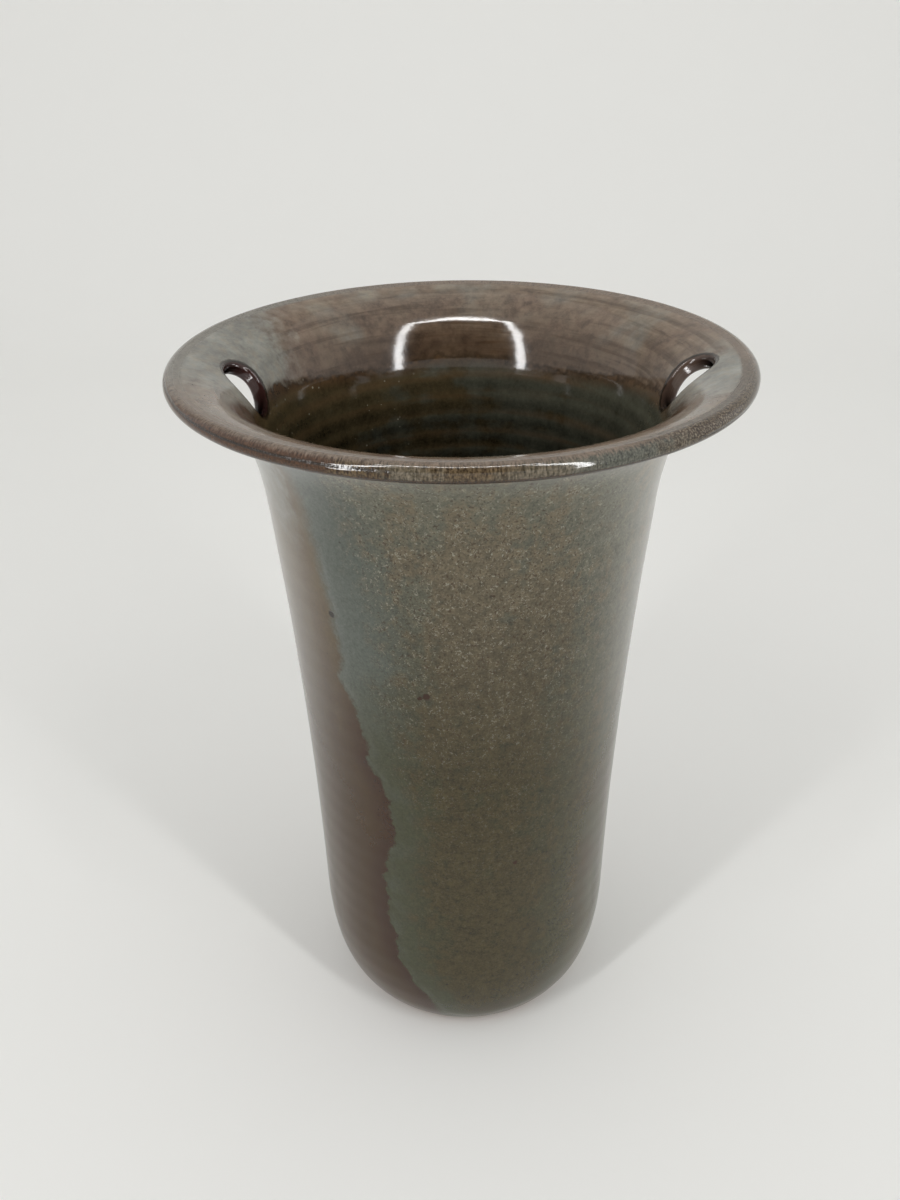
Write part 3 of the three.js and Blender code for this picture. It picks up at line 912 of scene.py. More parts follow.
class Value:
    """One output of a node. Arithmetic on it adds Math nodes, so that masks read as formulas."""

    def __init__(self, nodes, socket):
        self.nodes = nodes
        self.socket = socket

    def output(self, name):
        """Another output of the same node."""
        return Value(self.nodes, self.socket.node.outputs[name])

    def math(self, operation, *operands):
        return self.nodes.node("ShaderNodeMath", {"operation": operation}, dict(enumerate(operands)))

    def __add__(self, other):
        return self.math("ADD", self, other)

    def __sub__(self, other):
        return self.math("SUBTRACT", self, other)

    def __rsub__(self, other):
        return self.math("SUBTRACT", other, self)

    def __mul__(self, other):
        return self.math("MULTIPLY", self, other)

    def __truediv__(self, other):
        return self.math("DIVIDE", self, other)

    def __pow__(self, other):
        return self.math("POWER", self, other)

    __radd__ = __add__
    __rmul__ = __mul__

    def rise(self, low, high):
        """0 at low, 1 at high, and a smooth step between; low may be the larger."""
        settings = {"interpolation_type": "SMOOTHSTEP"}
        return self.nodes.node("ShaderNodeMapRange", settings, {0: self, 1: low, 2: high, 3: 0.0, 4: 1.0})

    def between(self, low, high, soft):
        """1 between low and high, with soft ends."""
        return self.rise(low - soft, low + soft) * self.rise(high + soft, high - soft)

    def at_most(self, other):
        return self.math("MINIMUM", self, other)

    def at_least(self, other):
        return self.math("MAXIMUM", self, other)

    def held(self):
        """Kept from 0 to 1."""
        return self.at_most(1.0).at_least(0.0)


class Nodes:
    """A node tree, and the one way in which it is added to."""

    def __init__(self, owner):
        owner.use_nodes = True
        self.tree = owner.node_tree
        self.tree.nodes.clear()

    def node(self, kind, settings=None, sockets=None, output=0):
        """Adds a node: its settings first, then the values or links of its sockets."""
        made = self.tree.nodes.new(kind)
        for key, value in (settings or {}).items():
            setattr(made, key, value)
        for key, value in (sockets or {}).items():
            if isinstance(value, Value):
                self.tree.links.new(value.socket, made.inputs[key])
            else:
                made.inputs[key].default_value = value
        return Value(self, made.outputs[output]) if made.outputs else None


class Finish(Nodes):
    """A material built from nodes."""

    def __init__(self, name):
        self.material = bpy.data.materials.new(name)
        super().__init__(self.material)
        here = self.node("ShaderNodeTexCoord", output="Object")
        self.place = self.vector("SCALE", here, 1 / MM)

    def vector(self, operation, first, amount):
        """Vector Math with a second vector, or a number for SCALE."""
        second = 3 if operation == "SCALE" else 1
        return self.node("ShaderNodeVectorMath", {"operation": operation}, {0: first, second: amount})

    def parts(self, vector):
        """The three parts of a vector."""
        made = self.node("ShaderNodeSeparateXYZ", sockets={0: vector})
        return [made.output(part) for part in range(3)]

    def joined(self, x, y, z):
        return self.node("ShaderNodeCombineXYZ", sockets={0: x, 1: y, 2: z})

    def attribute(self, name):
        """A value that the mesh carries."""
        return self.node("ShaderNodeAttribute", {"attribute_name": name}, output="Fac")

    def noise(self, size, detail=2.0, place=None, roughness=0.5, curl=0.0):
        """Soft noise with marks of about this size in mm, around 0.5."""
        sockets = {"Vector": place or self.place, "Scale": 1 / size, "Detail": detail}
        sockets.update({"Roughness": roughness, "Distortion": curl})
        return self.node("ShaderNodeTexNoise", sockets=sockets)

    def spots(self, cell, smallest, largest, share):
        """Round spots, one to a cell of this size in mm, in this share of the cells."""
        distance = self.node("ShaderNodeTexVoronoi", sockets={"Vector": self.place, "Scale": 1 / cell})
        size, there, strength = self.parts(distance.output("Color"))
        size = (size * (largest - smallest) + smallest) / cell
        there = there.rise(1 - share - 0.02, 1 - share)
        return (distance / size).rise(1.0, 0.45) * there * (strength * 0.6 + 0.4)

    def mix(self, amount, first, second, blend="MIX"):
        """A colour between two, or a blend of them."""
        settings = {"data_type": "RGBA", "blend_type": blend}
        pair = {6: self.tint(first), 7: self.tint(second)}
        return self.node("ShaderNodeMix", settings, {0: amount, **pair}, output=2)

    def tint(self, tone):
        return tone if isinstance(tone, Value) else (*tone, 1.0)

    def scaled(self, tone, amount):
        """A colour made darker or lighter by a value."""
        return self.vector("SCALE", tone if isinstance(tone, Value) else tuple(tone), amount)

    def near(self, spot, turn, height, radius):
        """1 inside a small round spot with a turn, height and size."""
        across = (turn - spot["turn"]) * radius * (math.pi / 180)
        up = height - spot["height"]
        return ((across * across + up * up) / spot["size"] ** 2).rise(1.0, 0.5)

    def shaded(self, tone, roughness, height_mm, more=None):
        """Ends the material: a shader with this colour and roughness over a height in mm."""
        bump = self.node("ShaderNodeBump", sockets={"Strength": 1.0, "Distance": MM, "Height": height_mm})
        sockets = {"Base Color": tone, "Roughness": roughness, "Normal": bump, **(more or {})}
        return self.ended(self.node("ShaderNodeBsdfPrincipled", sockets=sockets))

    def ended(self, shader):
        self.node("ShaderNodeOutputMaterial", sockets={"Surface": shader})
        return self.material


class GlazeLook:
    """Colours of the fired glazes all over the vase, from each point's place and what the mesh carries.

    Limits on run and z are in mm, and limits on turn in degrees.
    """

    def __init__(self, name, colours, outline):
        self.finish = f = Finish(name)
        self.colours = colours
        self.start, self.end = outline.start, outline.end
        x, y, self.z = f.parts(f.place)
        self.run, self.pour = f.attribute("run"), f.attribute("pour")
        self.ring, self.cut = f.attribute("ring"), f.attribute("cut")
        self.turn = x.math("ARCTAN2", x, y * -1.0) * (180 / math.pi)
        self.away = x.math("ABSOLUTE", self.turn)
        self.radius = (x * x + y * y) ** 0.5
        self.on_flare = self.run.rise(self.start["lip"], self.end["lip"])

        # Noise that runs down the wall, round the rim, and over the lip.
        self.down = f.joined(x, y, self.z * 0.12)
        self.round = f.joined(x / self.radius * 5.0, y / self.radius * 5.0, self.run)
        self.over_lip = f.joined(x / self.radius * 88.0, y / self.radius * 88.0, self.run * 0.3)
        self.cloud = f.noise(24, 3)
        self.blotch = f.noise(7, 3)
        self.patchy = f.noise(3.4, 2)
        self.fine = f.noise(1.5, 2)
        self.grain = f.noise(0.62, 2)
        self.breaks = f.noise(0.5, 3, self.over_lip)

    def vary(self, **strengths):
        """Unevenness around 0: the named noises, each that strong."""
        first, *others = ((getattr(self, name) - 0.5) * strength for name, strength in strengths.items())
        return sum(others, first)

    def second_share(self):
        """How much of the second glaze there is at each point."""
        softness = self.z.rise(120.0, 235.0) * 3.4 + 0.7 + self.on_flare * 4.0
        wander = self.vary(patchy=self.on_flare * 16.0 + 3.8, fine=2.4)
        wander = wander + self.vary(blotch=self.on_flare * 24.0, grain=1.2)
        return ((self.pour + wander) / softness).rise(-1.0, 1.0)

    def first_glaze(self):
        """Iron brown, redder where it breaks and low beside the second glaze, and grey high on the left."""
        f, colours = self.finish, self.colours
        runs = f.noise(9, 2, self.down)
        beside = self.pour.rise(-11.0, -1.0) * self.z.rise(165.0, 125.0)
        red = beside * 0.9 + (runs - 0.5) * 0.9 + self.vary(blotch=0.8) + 0.08
        brown = f.mix(red.held(), colours.iron_brown, colours.red_brown)
        low = (self.z + self.vary(cloud=40.0)).rise(212.0, 125.0)
        brown = f.mix(low, brown, colours.brown_low, "MULTIPLY")
        side = self.turn + self.vary(patchy=12.0, blotch=16.0)
        ragged = self.z + self.vary(blotch=36.0, cloud=30.0)
        grey = side.rise(-46.0, -55.0) * side.rise(-128.0, -88.0) * ragged.rise(200.0, 226.0)
        brown = f.mix(grey * 0.8, brown, colours.rim_grey)
        return f.scaled(brown, self.vary(grain=0.35, fine=0.35) + 1.0)

    def second_glaze(self):
        """Smooth and blue-green beside its edge, mottled olive with pale flecks and brown pits beyond."""
        f, colours = self.finish, self.colours
        z, turn = self.z, self.turn
        high = (z + self.vary(cloud=40.0)).rise(118.0, 190.0)
        strip = f.mix(high, colours.deep_green, colours.blue_green)
        strip = f.mix((self.blotch - 0.45) * 0.9 * (1.0 - high), strip, colours.blue_green)
        strip = f.scaled(strip, self.vary(fine=0.6, grain=0.7) + 1.0)
        wander = self.vary(blotch=14.0, patchy=9.0, fine=5.0)
        beyond = ((self.pour + wander) / (high * 10.0 + 11.0)).rise(0.4, 1.5)

        in_middle = (turn + self.vary(cloud=50.0)).between(-13.0, 27.0, 12.0)
        in_middle = in_middle * (z + self.vary(blotch=24.0)).rise(236.0, 206.0)
        browner = f.noise(8, 2, self.down) * 0.4 + self.cloud * 0.2 + self.blotch * 0.5 + self.patchy * 0.45
        browner = (browner + self.fine * 0.2 + in_middle * 0.2).rise(0.83, 1.03)
        low = (z + self.vary(cloud=30.0)).rise(222.0, 118.0)
        mottled = f.mix(browner, colours.olive, colours.olive_brown)
        mottled = f.mix(low, mottled, colours.olive_low, "MULTIPLY")
        stained = turn.between(44.0, 74.0, 9.0) * z.between(52.0, 110.0, 24.0) * self.cloud.rise(0.4, 0.6)
        mottled = f.mix(stained * 0.55, mottled, colours.throat_red)
        to_right = turn.rise(24.0, 58.0)
        level = self.vary(grain=1.4, fine=1.0, patchy=0.9) + 1.02
        # The last two terms make the glaze lighter high up, under the flare and the lip: painted light that
        # makes up for their shade.
        level = level + to_right * 0.22 + z.rise(186.0, 214.0) * 0.12 + z.rise(214.0, 236.0) * 0.25
        poured = f.mix(beyond, strip, f.scaled(mottled, level))

        flecked = ((self.pour + wander * 0.5) / (high * 7.0 + 8.0)).rise(0.3, 1.7)
        flecked = flecked * (z.rise(50.0, 190.0) * 0.8 + 0.2) * (1.0 - to_right * 0.7)
        clump = self.vary(patchy=0.22)
        self.flecks = (f.noise(0.85, 2, None, 0.5, 1.4) + clump).rise(0.605, 0.68) * flecked
        poured = f.mix(self.flecks * 0.75, poured, f.scaled(colours.fleck, 1.0 - low * 0.55))
        pits = (f.noise(0.8, 1, f.vector("ADD", f.place, (41.0, 7.0, 13.0))) + clump).rise(0.62, 0.68)
        poured = f.mix(pits * flecked * 0.6, poured, colours.pit)
        under_lip = self.run.rise(self.start["lip"] - 12.0, self.start["lip"] - 3.0)
        return f.mix(under_lip * 0.5, poured, colours.blue_green)

    def flare(self, second):
        """Inside of the flare: brown with dark streaks round it, the second glaze in patches."""
        f, colours = self.finish, self.colours
        streaks = f.noise(4.4, 3, self.round, 0.55, 0.5)
        thin = f.noise(1.6, 2, self.round, 0.5, 0.4)
        run = self.run + (streaks - 0.5) * 14.0
        at_back = self.away.rise(120.0, 160.0)
        dark = streaks.rise(0.47, 0.64) * 0.8 + thin.rise(0.52, 0.7) * 0.3 + self.vary(blotch=2.0, cloud=2.0)
        dark = dark.held() * run.between(269.0, 300.0, 5.0)
        tone = f.mix(self.vary(blotch=1.6, cloud=2.0) + 0.35, colours.rim_brown, colours.rim_olive)
        # Darker towards the bottom of the flare: partly the glaze's own colour, and at the back partly a
        # painted dark reflection.
        tone = f.mix(run.rise(275.0, 294.0) * (at_back * 0.45 + 0.3), tone, colours.rim_dark)
        tone = f.mix(dark * 0.75, tone, colours.rim_dark)
        patch = f.mix(self.patchy.rise(0.42, 0.68) * 0.5, colours.rim_grey, colours.rim_olive)
        tone = f.mix(self.cloud.rise(0.5, 0.64) * run.rise(292.0, 284.0) * 0.35, tone, patch)
        pale = (self.turn + self.vary(blotch=9.0)).between(164.0, 178.0, 2.0) * run.rise(290.0, 284.0)
        tone = f.mix(pale * 0.15, tone, colours.rim_olive)
        tone = f.mix(second * 0.8, tone, patch)
        level = self.vary(cloud=1.2, blotch=1.5, patchy=0.9, fine=0.5, grain=0.4) + 1.1
        # The band taken off at the back is a painted dark reflection.
        return f.scaled(tone, level - at_back * run.between(271.0, 283.0, 4.0) * 0.18)

    def lip(self):
        """The lip: red-brown, gold, blue and golden brown from left to right, and a paler crest."""
        f, colours = self.finish, self.colours
        turn = self.turn + self.vary(patchy=14.0)
        low = self.start["lip"]
        speckle = f.noise(0.5, 2, f.vector("ADD", f.place, (3.0, 29.0, 17.0)))
        broken = (self.breaks * 0.7 + self.patchy * 0.3).rise(0.4, 0.56)
        gold = f.mix(broken, colours.rim_dark, colours.lip_gold)
        plain = f.mix(self.breaks.rise(0.34, 0.6), colours.olive_brown, colours.rim_olive)
        golden = turn.between(-24.0, -13.0, 2.0) + turn.between(-4.0, 7.0, 3.0) * 0.8
        outer = f.mix(turn.rise(-24.0, -20.0), colours.red_brown, f.mix(golden, plain, gold))
        outer = f.mix(turn.between(18.0, 36.0, 5.0) * 0.7, outer, colours.blue_green)
        golden_brown = f.mix(speckle.rise(0.42, 0.66), colours.rim_dark, colours.rim_olive)
        outer = f.mix(turn.rise(30.0, 44.0) * 0.9, outer, golden_brown)
        below = self.run.rise(low + 2.6, low + 1.4)
        outer = f.mix(turn.rise(28.0, 42.0) * below * 0.8, outer, colours.blue_green)
        outer = f.mix(turn.rise(-46.0, -70.0) * 0.2, outer, colours.rim_brown)
        # Painted shade: a dark line along the lip's underside.
        shade_under_lip = self.run.between(low + 0.6, low + 2.5, 0.4)
        outer = f.mix(shade_under_lip * 0.95, outer, colours.rim_dark)
        crest = f.mix(speckle.rise(0.5, 0.7) * 0.55, colours.lip_crest, colours.rim_dark)
        crest = f.mix((self.patchy - 0.4) * 1.2, crest, colours.rim_brown)
        crest = f.mix(turn.rise(-58.0, -82.0) * turn.rise(-180.0, -120.0) * 0.6, crest, colours.rim_grey)
        crest = f.mix(turn.between(32.0, 80.0, 9.0) * 0.85, crest, golden_brown)
        on_crest = (self.run + self.vary(breaks=3.0)).rise(low + 5.4, low + 7.4)
        tone = f.mix(on_crest, outer, crest)
        tone = f.scaled(tone, self.vary(breaks=1.6) + (speckle - 0.5) * 1.8 + 0.87)

        # A dark hairline where the glazes meet, on the left and on the right, also sunk as a groove in the
        # relief. Its dark is partly the glaze's colour and partly painted shade in the groove.
        higher = turn.rise(-45.0, -80.0) * 1.3 - turn.rise(0.0, 40.0) * 1.4
        line = (self.run - higher).between(low + 4.2, low + 4.9, 0.3)
        line = line * (self.breaks.rise(0.3, 0.5) * 0.4 + 0.6)
        self.line = line * (turn.between(-76.0, -13.0, 4.0) + turn.between(44.0, 76.0, 6.0) * 0.8)
        return f.mix(self.line, tone, colours.speck)

    def lining(self, depth):
        """Throat and inside, at depths below the flare's glaze: dark, in red-brown and greener bands."""
        f, colours = self.finish, self.colours
        bands = f.noise(4.6, 2, self.round)
        to_right = self.turn.math("SINE", self.turn * (math.pi / 180))
        greener = self.blotch * 0.35 + self.cloud * 0.35 + bands * 0.3 + to_right * 0.14
        tone = f.mix(greener.rise(0.43, 0.57), colours.throat, colours.throat_green)
        tone = f.mix(self.ring * 0.35 * bands.rise(0.58, 0.44), tone, colours.throat_red)
        tone = f.mix((depth + self.vary(patchy=9.0)).rise(7.0, 0.5) * 0.75, tone, colours.throat_red)
        # A dark line along the throat edge: partly the glaze's colour, partly painted shade.
        edge = (depth + self.vary(fine=3.0)).between(-0.6, 1.6, 1.0)
        tone = f.mix(edge * 0.75, tone, colours.speck)
        light = f.spots(2.4, 0.25, 0.55, 0.35) * self.turn.between(-160.0, -88.0, 14.0)
        tone = f.mix(light * 0.5, tone, colours.fleck)
        # The depth term makes it lighter near the mouth and darker further down: painted shade deep in the
        # throat.
        level = depth.rise(30.0, 3.0) * 0.75 + self.ring * 0.6 + self.vary(blotch=1.2) + to_right * 0.25
        return f.scaled(tone, level + 0.66 + self.vary(grain=0.7, fine=0.9))

    def small_spots(self, tone):
        """Dark specks, and the few spots that stand out."""
        f = self.finish
        outside = 1.0 - self.on_flare
        specks = f.spots(2.6, 0.14, 0.36, 0.22).at_least(f.spots(6.5, 0.25, 0.6, 0.3))
        self.specks = specks * (1.0 - self.on_flare * 0.6)
        tone = f.mix(self.specks * 0.7, tone, self.colours.speck)
        self.pinhole = f.near(PINHOLE, self.turn, self.z, self.radius) * outside
        tone = f.mix(self.pinhole, tone, self.colours.speck)
        for spot in STAINS:
            stain = f.near(spot, self.turn + self.vary(grain=2.0), self.z + self.vary(fine=1.5), self.radius)
            tone = f.mix(stain * outside, tone, self.colours.pit)
        return tone

    def material(self):
        f, colours = self.finish, self.colours
        lip, inside = self.start["lip"], self.start["flare_inside"]
        second = self.second_share()
        tone = f.mix(second, self.first_glaze(), self.second_glaze())
        inwards = self.run.rise(inside - 1.0, inside + 3.0)
        tone = f.mix(inwards, tone, self.flare(second))
        on_lip = self.run.between(lip - 0.9, inside + 2.4, 0.7)
        tone = f.mix(on_lip, tone, self.lip())
        # The tone turns to the dark lining below the throat edge: partly the glaze's own colour, partly
        # painted shade.
        throat_edge = self.away.rise(85.0, 150.0) * 8.0 - self.away.rise(154.0, 177.0) * 2.6 + 290.5
        depth = self.run - (throat_edge + self.vary(patchy=7.0))
        tone = f.mix((depth / 1.6).rise(-1.0, 1.0) * inwards, tone, self.lining(depth))

        # The glaze is red-brown to brown inside the cut-outs, and thins to a dark line over their edges.
        browner = self.vary(blotch=1.6) + self.turn.rise(-90.0, 90.0) * 0.7
        tone = f.mix(self.cut.rise(0.0, -0.9), tone, f.mix(browner, colours.cut_red, colours.cut_brown))
        over_edge = (self.cut + self.vary(fine=0.9)).between(-1.1, 0.25, 0.3)
        tone = self.small_spots(f.mix(over_edge * 0.9, tone, colours.speck))

        gloss = 0.17 - self.run.rise(lip - 6.0, lip) * 0.08
        crest = self.run.between(inside - 1.2, inside + 3.0, 1.6)
        roughness = (gloss + crest * 0.2 + self.vary(blotch=0.06) + self.flecks * 0.08).at_least(0.07)
        relief = f.noise(1.7, 2) * 0.012 + f.noise(6, 2) * 0.03 + self.specks * -0.02
        relief = relief + self.flecks * 0.01 + self.pinhole * -0.25 + self.line * on_lip * -0.12
        slant = f.node("ShaderNodeLayerWeight", sockets={"Blend": 0.5}, output="Facing")
        haze = slant.rise(0.3, 0.72) * self.run.rise(lip - 2.0, lip - 10.0) * self.z.rise(80.0, 215.0)
        more = {"IOR": GLAZE_IOR, "Coat Weight": haze, "Coat Roughness": HAZE_ROUGHNESS}
        return f.shaded(tone, roughness, relief, more)


def clay_finish(name, colours):
    """Bare fired clay, toasted where it meets the glaze."""
    f = Finish(name)
    near_glaze = (f.attribute("run") + (f.noise(4, 3) - 0.5) * 6.0).rise(-9.0, -1.0)
    grog = f.spots(1.6, 0.1, 0.35, 0.4)
    iron = f.spots(3.7, 0.15, 0.4, 0.3)
    tone = f.mix(f.noise(5, 4).rise(0.3, 0.7) * 0.35, colours.clay, colours.clay_dark)
    tone = f.mix(near_glaze * 0.7, tone, colours.clay_dark)
    tone = f.mix(iron * 0.7, tone, colours.speck)
    tone = f.mix(grog * 0.3, tone, colours.fleck)
    roughness = f.noise(2, 3) * 0.15 + 0.72
    height = f.noise(0.5, 3) * 0.08 + f.noise(1.8, 2) * 0.06 + grog * 0.05
    return f.shaded(tone, roughness, height)


# Operators.

def vase_parts(context):
    """The outline, the marks and the cut-outs, from the scene's settings."""
    scene = context.scene
    outline = Outline(scene.vase_sizes)
    marks = Marks(outline, scene.vase_marks)
    cut = scene.vase_cutouts
    cutouts = []
    for side in ("left", "right"):
        sizes = [getattr(cut, f"{side}_{size}") / MM for size in ("drop", "width", "length")]
        turn = math.degrees(getattr(cut, f"{side}_turn"))
        cutouts.append(Cutout(turn, *sizes, cut.softening / MM, outline))
    return outline, marks, cutouts


def place_piece(made, finish, node):
    """Gives a piece its finish and lets it stand for its CAD solid."""
    made.data.materials.append(finish)
    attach(made, BODY)
    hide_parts(node)


class VASE_OT_clay_body(bpy.types.Operator):
    """Builds the clay body with its bare, trimmed foot"""

    bl_idname = "vase.clay_body"
    bl_label = "Clay body"

    def execute(self, context):
        scene = context.scene
        outline, marks, cutouts = vase_parts(context)
        for cutout in cutouts:
            cutout.widen(marks.mm["coat"] + 2 * LAYER_GAP)
        made = clay_sheet(outline, marks, cutouts, scene.vase_marks.columns // 2).piece("clay_body")
        finish = clay_finish("bare_stoneware", scene.vase_colours)
        place_piece(made, finish, "stoneware_body")
        return {"FINISHED"}


class VASE_OT_glaze_coats(bpy.types.Operator):
    """Builds the base, rim and liner coats from one continuous glazed surface"""

    bl_idname = "vase.glaze_coats"
    bl_label = "Base, rim and liner coats"

    def execute(self, context):
        scene = context.scene
        outline, marks, cutouts = vase_parts(context)
        sheets = glaze_coats(outline, marks, cutouts, scene.vase_marks.columns)
        for name, sheet in sheets.items():
            slot = name.removesuffix("_coat")
            finish = GlazeLook(f"fired_{slot}", scene.vase_colours, outline).material()
            place_piece(sheet.thick_piece(name, marks.mm["coat"]), finish, slot)
        return {"FINISHED"}


class VASE_OT_poured_coat(bpy.types.Operator):
    """Builds the second glaze, poured over the first, with its ragged edge"""

    bl_idname = "vase.poured_coat"
    bl_label = "Poured coat"

    def execute(self, context):
        scene = context.scene
        outline, marks, _ = vase_parts(context)
        made = pour_sheet(outline, marks).thick_piece("poured_glaze_coat", marks.mm["coat"] / 2)
        finish = GlazeLook("fired_poured_glaze", scene.vase_colours, outline).material()
        place_piece(made, finish, "poured_glaze")
        return {"FINISHED"}


# The camera from the fit to the vase's outlines: its axes, its place in metres and its lens in mm.
CAMERA_ROWS = (
    (0.9999015, 0.0059792, -0.0126969),
    (0.0078871, 0.5089112, 0.8607829),
    (0.0116084, -0.8607982, 0.5088139),
)
CAMERA_PLACE = (0.0, -0.311455, 0.34641)
CAMERA_LENS = 31.5

# The sweep behind the vase, in metres: rows of the floor from the front, where the floor ends, the
# bend's radius, the top, and half the width.
SWEEP_FLOOR = (-2.5, -1.0, 0.3)
SWEEP_BACK = 0.75
SWEEP_BEND = 0.5
SWEEP_TOP = 1.9
SWEEP_HALF = 2.0

# The dark card: how far in front of the axis it stands, the heights of its rows, and half its width.
CARD_FRONT = 0.6
CARD_HEIGHTS = (0.42, 1.0, 1.5)
CARD_HALF = 0.41

# The lamps, in metres: two strips that give the light, and two tall glints and a bar that only show in
# the gloss. A size is a width and a height. The strips and glints stand in front of the axis, one to
# each side, with their middles at a height, and the glints are shifted a little to the right.
LAMP_FRONT = 0.54
STRIP_SIZE = (0.05, 1.09)
STRIP_SIDE, STRIP_MIDDLE = 0.47, 0.925
GLINT_SIZE = (0.07, 1.37)
GLINT_SIDE, GLINT_MIDDLE = 0.455, 0.785
GLINT_SHIFT = 0.01
BAR_SIZE = (0.34, 0.011)
BAR_PLACE = (0, -0.15, 0.7)
BAR_TARGET = (0, 0, 0.24)
BAR_STRENGTH = 2.5

# Colour of the room's light.
ROOM_TINT = (1, 1, 0.985, 1)


def make_camera(scene):
    """The camera at the photograph's place."""
    camera = linked(bpy.data.objects.new("camera", bpy.data.cameras.new("camera")))
    camera.data.sensor_fit = "AUTO"
    camera.data.sensor_width = 36
    camera.data.lens = CAMERA_LENS
    camera.data.clip_start = 0.01
    axes = Matrix(CAMERA_ROWS).transposed().to_4x4()
    camera.matrix_world = Matrix.Translation(CAMERA_PLACE) @ axes
    scene.camera = camera


def sweep_mesh(name, profile, half_width):
    """A strip along X with a profile of (y, z) points, in metres."""
    points = [(side * half_width, y, z) for y, z in profile for side in (-1, 1)]
    faces = [(2 * i, 2 * i + 1, 2 * i + 3, 2 * i + 2) for i in range(len(profile) - 1)]
    mesh = bpy.data.meshes.new(name)
    mesh.from_pydata(points, [], faces)
    mesh.polygons.foreach_set("use_smooth", [True] * len(faces))
    return linked(bpy.data.objects.new(name, mesh))


def sweep_finish(tone):
    """Pale paper, see-through from below so that the foot can be looked at."""
    f = Finish("pale_paper")
    shade = f.mix(f.noise(90, 2) * 0.04, tone, (0.7, 0.7, 0.68))
    paper = f.node("ShaderNodeBsdfDiffuse", sockets={"Color": shade})
    clear = f.node("ShaderNodeBsdfTransparent")
    back = f.node("ShaderNodeNewGeometry", output="Backfacing")
    return f.ended(f.node("ShaderNodeMixShader", sockets={0: back, 1: paper, 2: clear}))


def card_finish(tone):
    """A matt dark card, a little uneven."""
    f = Finish("dark_card")
    shade = f.noise(40, 2) * (tone * 0.2) + tone
    return f.ended(f.node("ShaderNodeBsdfDiffuse", sockets={"Color": shade}))


def lamp(name, place, target, size, radiance, in_gloss):
    """A rectangular lamp, given the radiance of its face. It lights the scene or shows in the gloss."""
    light = bpy.data.lights.new(name, "AREA")
    light.shape = "RECTANGLE"
    light.size, light.size_y = size
    light.energy = radiance * math.pi * size[0] * size[1]
    made = bpy.data.objects.new(name, light)
    made.location = place
    aim = Vector(target) - made.location
    made.rotation_euler = aim.to_track_quat("-Z", "Y").to_euler()
    made.visible_camera = False
    made.visible_glossy = in_gloss
    made.visible_diffuse = not in_gloss
    linked(made)


class VASE_OT_studio(bpy.types.Operator):
    """Builds the pale sweep, the lamps, the dark card at the front and the camera"""

    bl_idname = "vase.studio"
    bl_label = "Studio"

    def execute(self, context):
        scene = context.scene
        studio = scene.vase_studio
        bend = [(SWEEP_BACK + SWEEP_BEND * math.sin(lean), SWEEP_BEND - SWEEP_BEND * math.cos(lean))
                for lean in np.linspace(0, math.pi / 2, 25)]
        profile = [*((y, 0.0) for y in SWEEP_FLOOR), *bend, (SWEEP_BACK + SWEEP_BEND, SWEEP_TOP)]
        sweep = sweep_mesh("pale_sweep", profile, SWEEP_HALF)
        sweep.data.materials.append(sweep_finish(studio.floor_tone))
        card = sweep_mesh("dark_card", [(-CARD_FRONT, z) for z in CARD_HEIGHTS], CARD_HALF)
        card.data.materials.append(card_finish(studio.card_tone))
        card.visible_camera = False
        for side, word in ((-1, "left"), (1, "right")):
            strip = (side * STRIP_SIDE, -LAMP_FRONT, STRIP_MIDDLE)
            lamp(f"strip_{word}", strip, (0, 0, STRIP_MIDDLE), STRIP_SIZE, studio.strip_light, False)
            glint = (side * GLINT_SIDE + GLINT_SHIFT, -LAMP_FRONT, GLINT_MIDDLE)
            lamp(f"glint_{word}", glint, (0, 0, GLINT_MIDDLE), GLINT_SIZE, studio.glint_light, True)
        lamp("glint_bar", BAR_PLACE, BAR_TARGET, BAR_SIZE, studio.glint_light * BAR_STRENGTH, True)
        make_room(scene, studio)
        make_camera(scene)
        scene.view_settings.view_transform = "Standard"
        return {"FINISHED"}


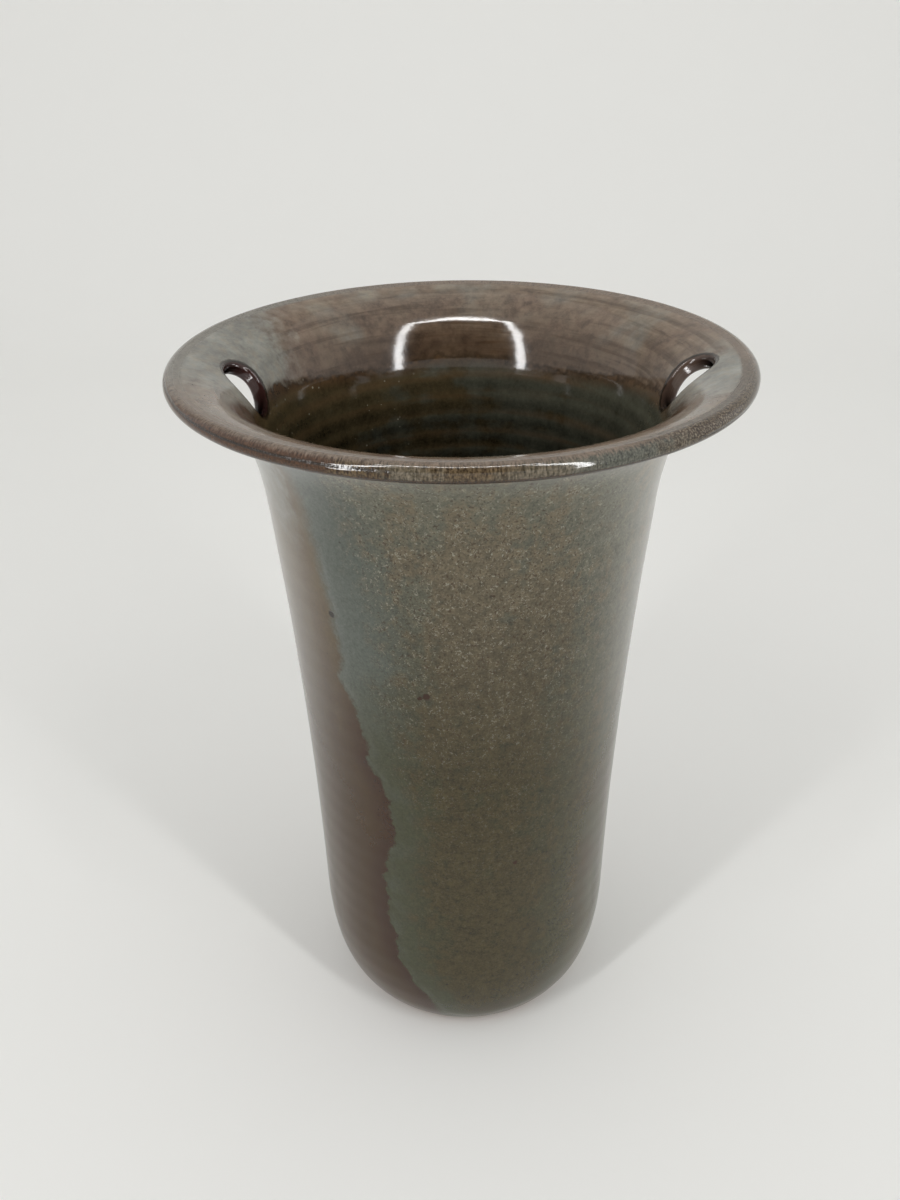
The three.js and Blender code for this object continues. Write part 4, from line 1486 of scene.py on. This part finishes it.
def make_room(scene, studio):
    """The room: one level of light, and the pale tone that the camera and the gloss see."""
    world = bpy.data.worlds.new("room")
    room = Nodes(world)
    rays = room.node("ShaderNodeLightPath", output="Is Camera Ray")
    seen = rays.at_least(rays.output("Is Glossy Ray")).at_least(rays.output("Is Transmission Ray"))
    light = {"Color": ROOM_TINT, "Strength": studio.room_light}
    lit = room.node("ShaderNodeBackground", sockets=light)
    shown = room.node("ShaderNodeBackground", sockets={"Color": (*studio.room_tone, 1), "Strength": 1})
    mixed = room.node("ShaderNodeMixShader", sockets={0: seen, 1: lit, 2: shown})
    room.node("ShaderNodeOutputWorld", sockets={"Surface": mixed})
    scene.world = world


class VASE_PT_panel(bpy.types.Panel):
    """Lists the steps that build the vase, and its settings"""

    bl_idname = "VASE_PT_panel"
    bl_label = "Flared vase"
    bl_space_type = "VIEW_3D"
    bl_region_type = "UI"
    bl_category = "Vase"

    def draw(self, context):
        scene = context.scene
        for made in STEPS:
            self.layout.operator(made.bl_idname)
        for group in SETTINGS:
            box = self.layout.box()
            box.label(text=group.removeprefix("vase_").title())
            settings = getattr(scene, group)
            for name in type(settings).__annotations__:
                box.prop(settings, name)


STEPS = (VASE_OT_clay_body, VASE_OT_glaze_coats, VASE_OT_poured_coat, VASE_OT_studio)
SETTINGS = {
    "vase_sizes": VaseSizes,
    "vase_cutouts": CutoutSizes,
    "vase_marks": HandMarks,
    "vase_colours": GlazeColours,
    "vase_studio": StudioSettings,
}


def register():
    for made in (*SETTINGS.values(), *STEPS, VASE_PT_panel):
        bpy.utils.register_class(made)
    for name, group in SETTINGS.items():
        setattr(bpy.types.Scene, name, PointerProperty(type=group))


def unregister():
    for name in SETTINGS:
        delattr(bpy.types.Scene, name)
    for made in (VASE_PT_panel, *reversed(STEPS), *reversed(list(SETTINGS.values()))):
        bpy.utils.unregister_class(made)


def main():
    register()
    bpy.ops.vase.clay_body()
    bpy.ops.vase.glaze_coats()
    bpy.ops.vase.poured_coat()
    bpy.ops.vase.studio()


if __name__ == "__main__":
    main()
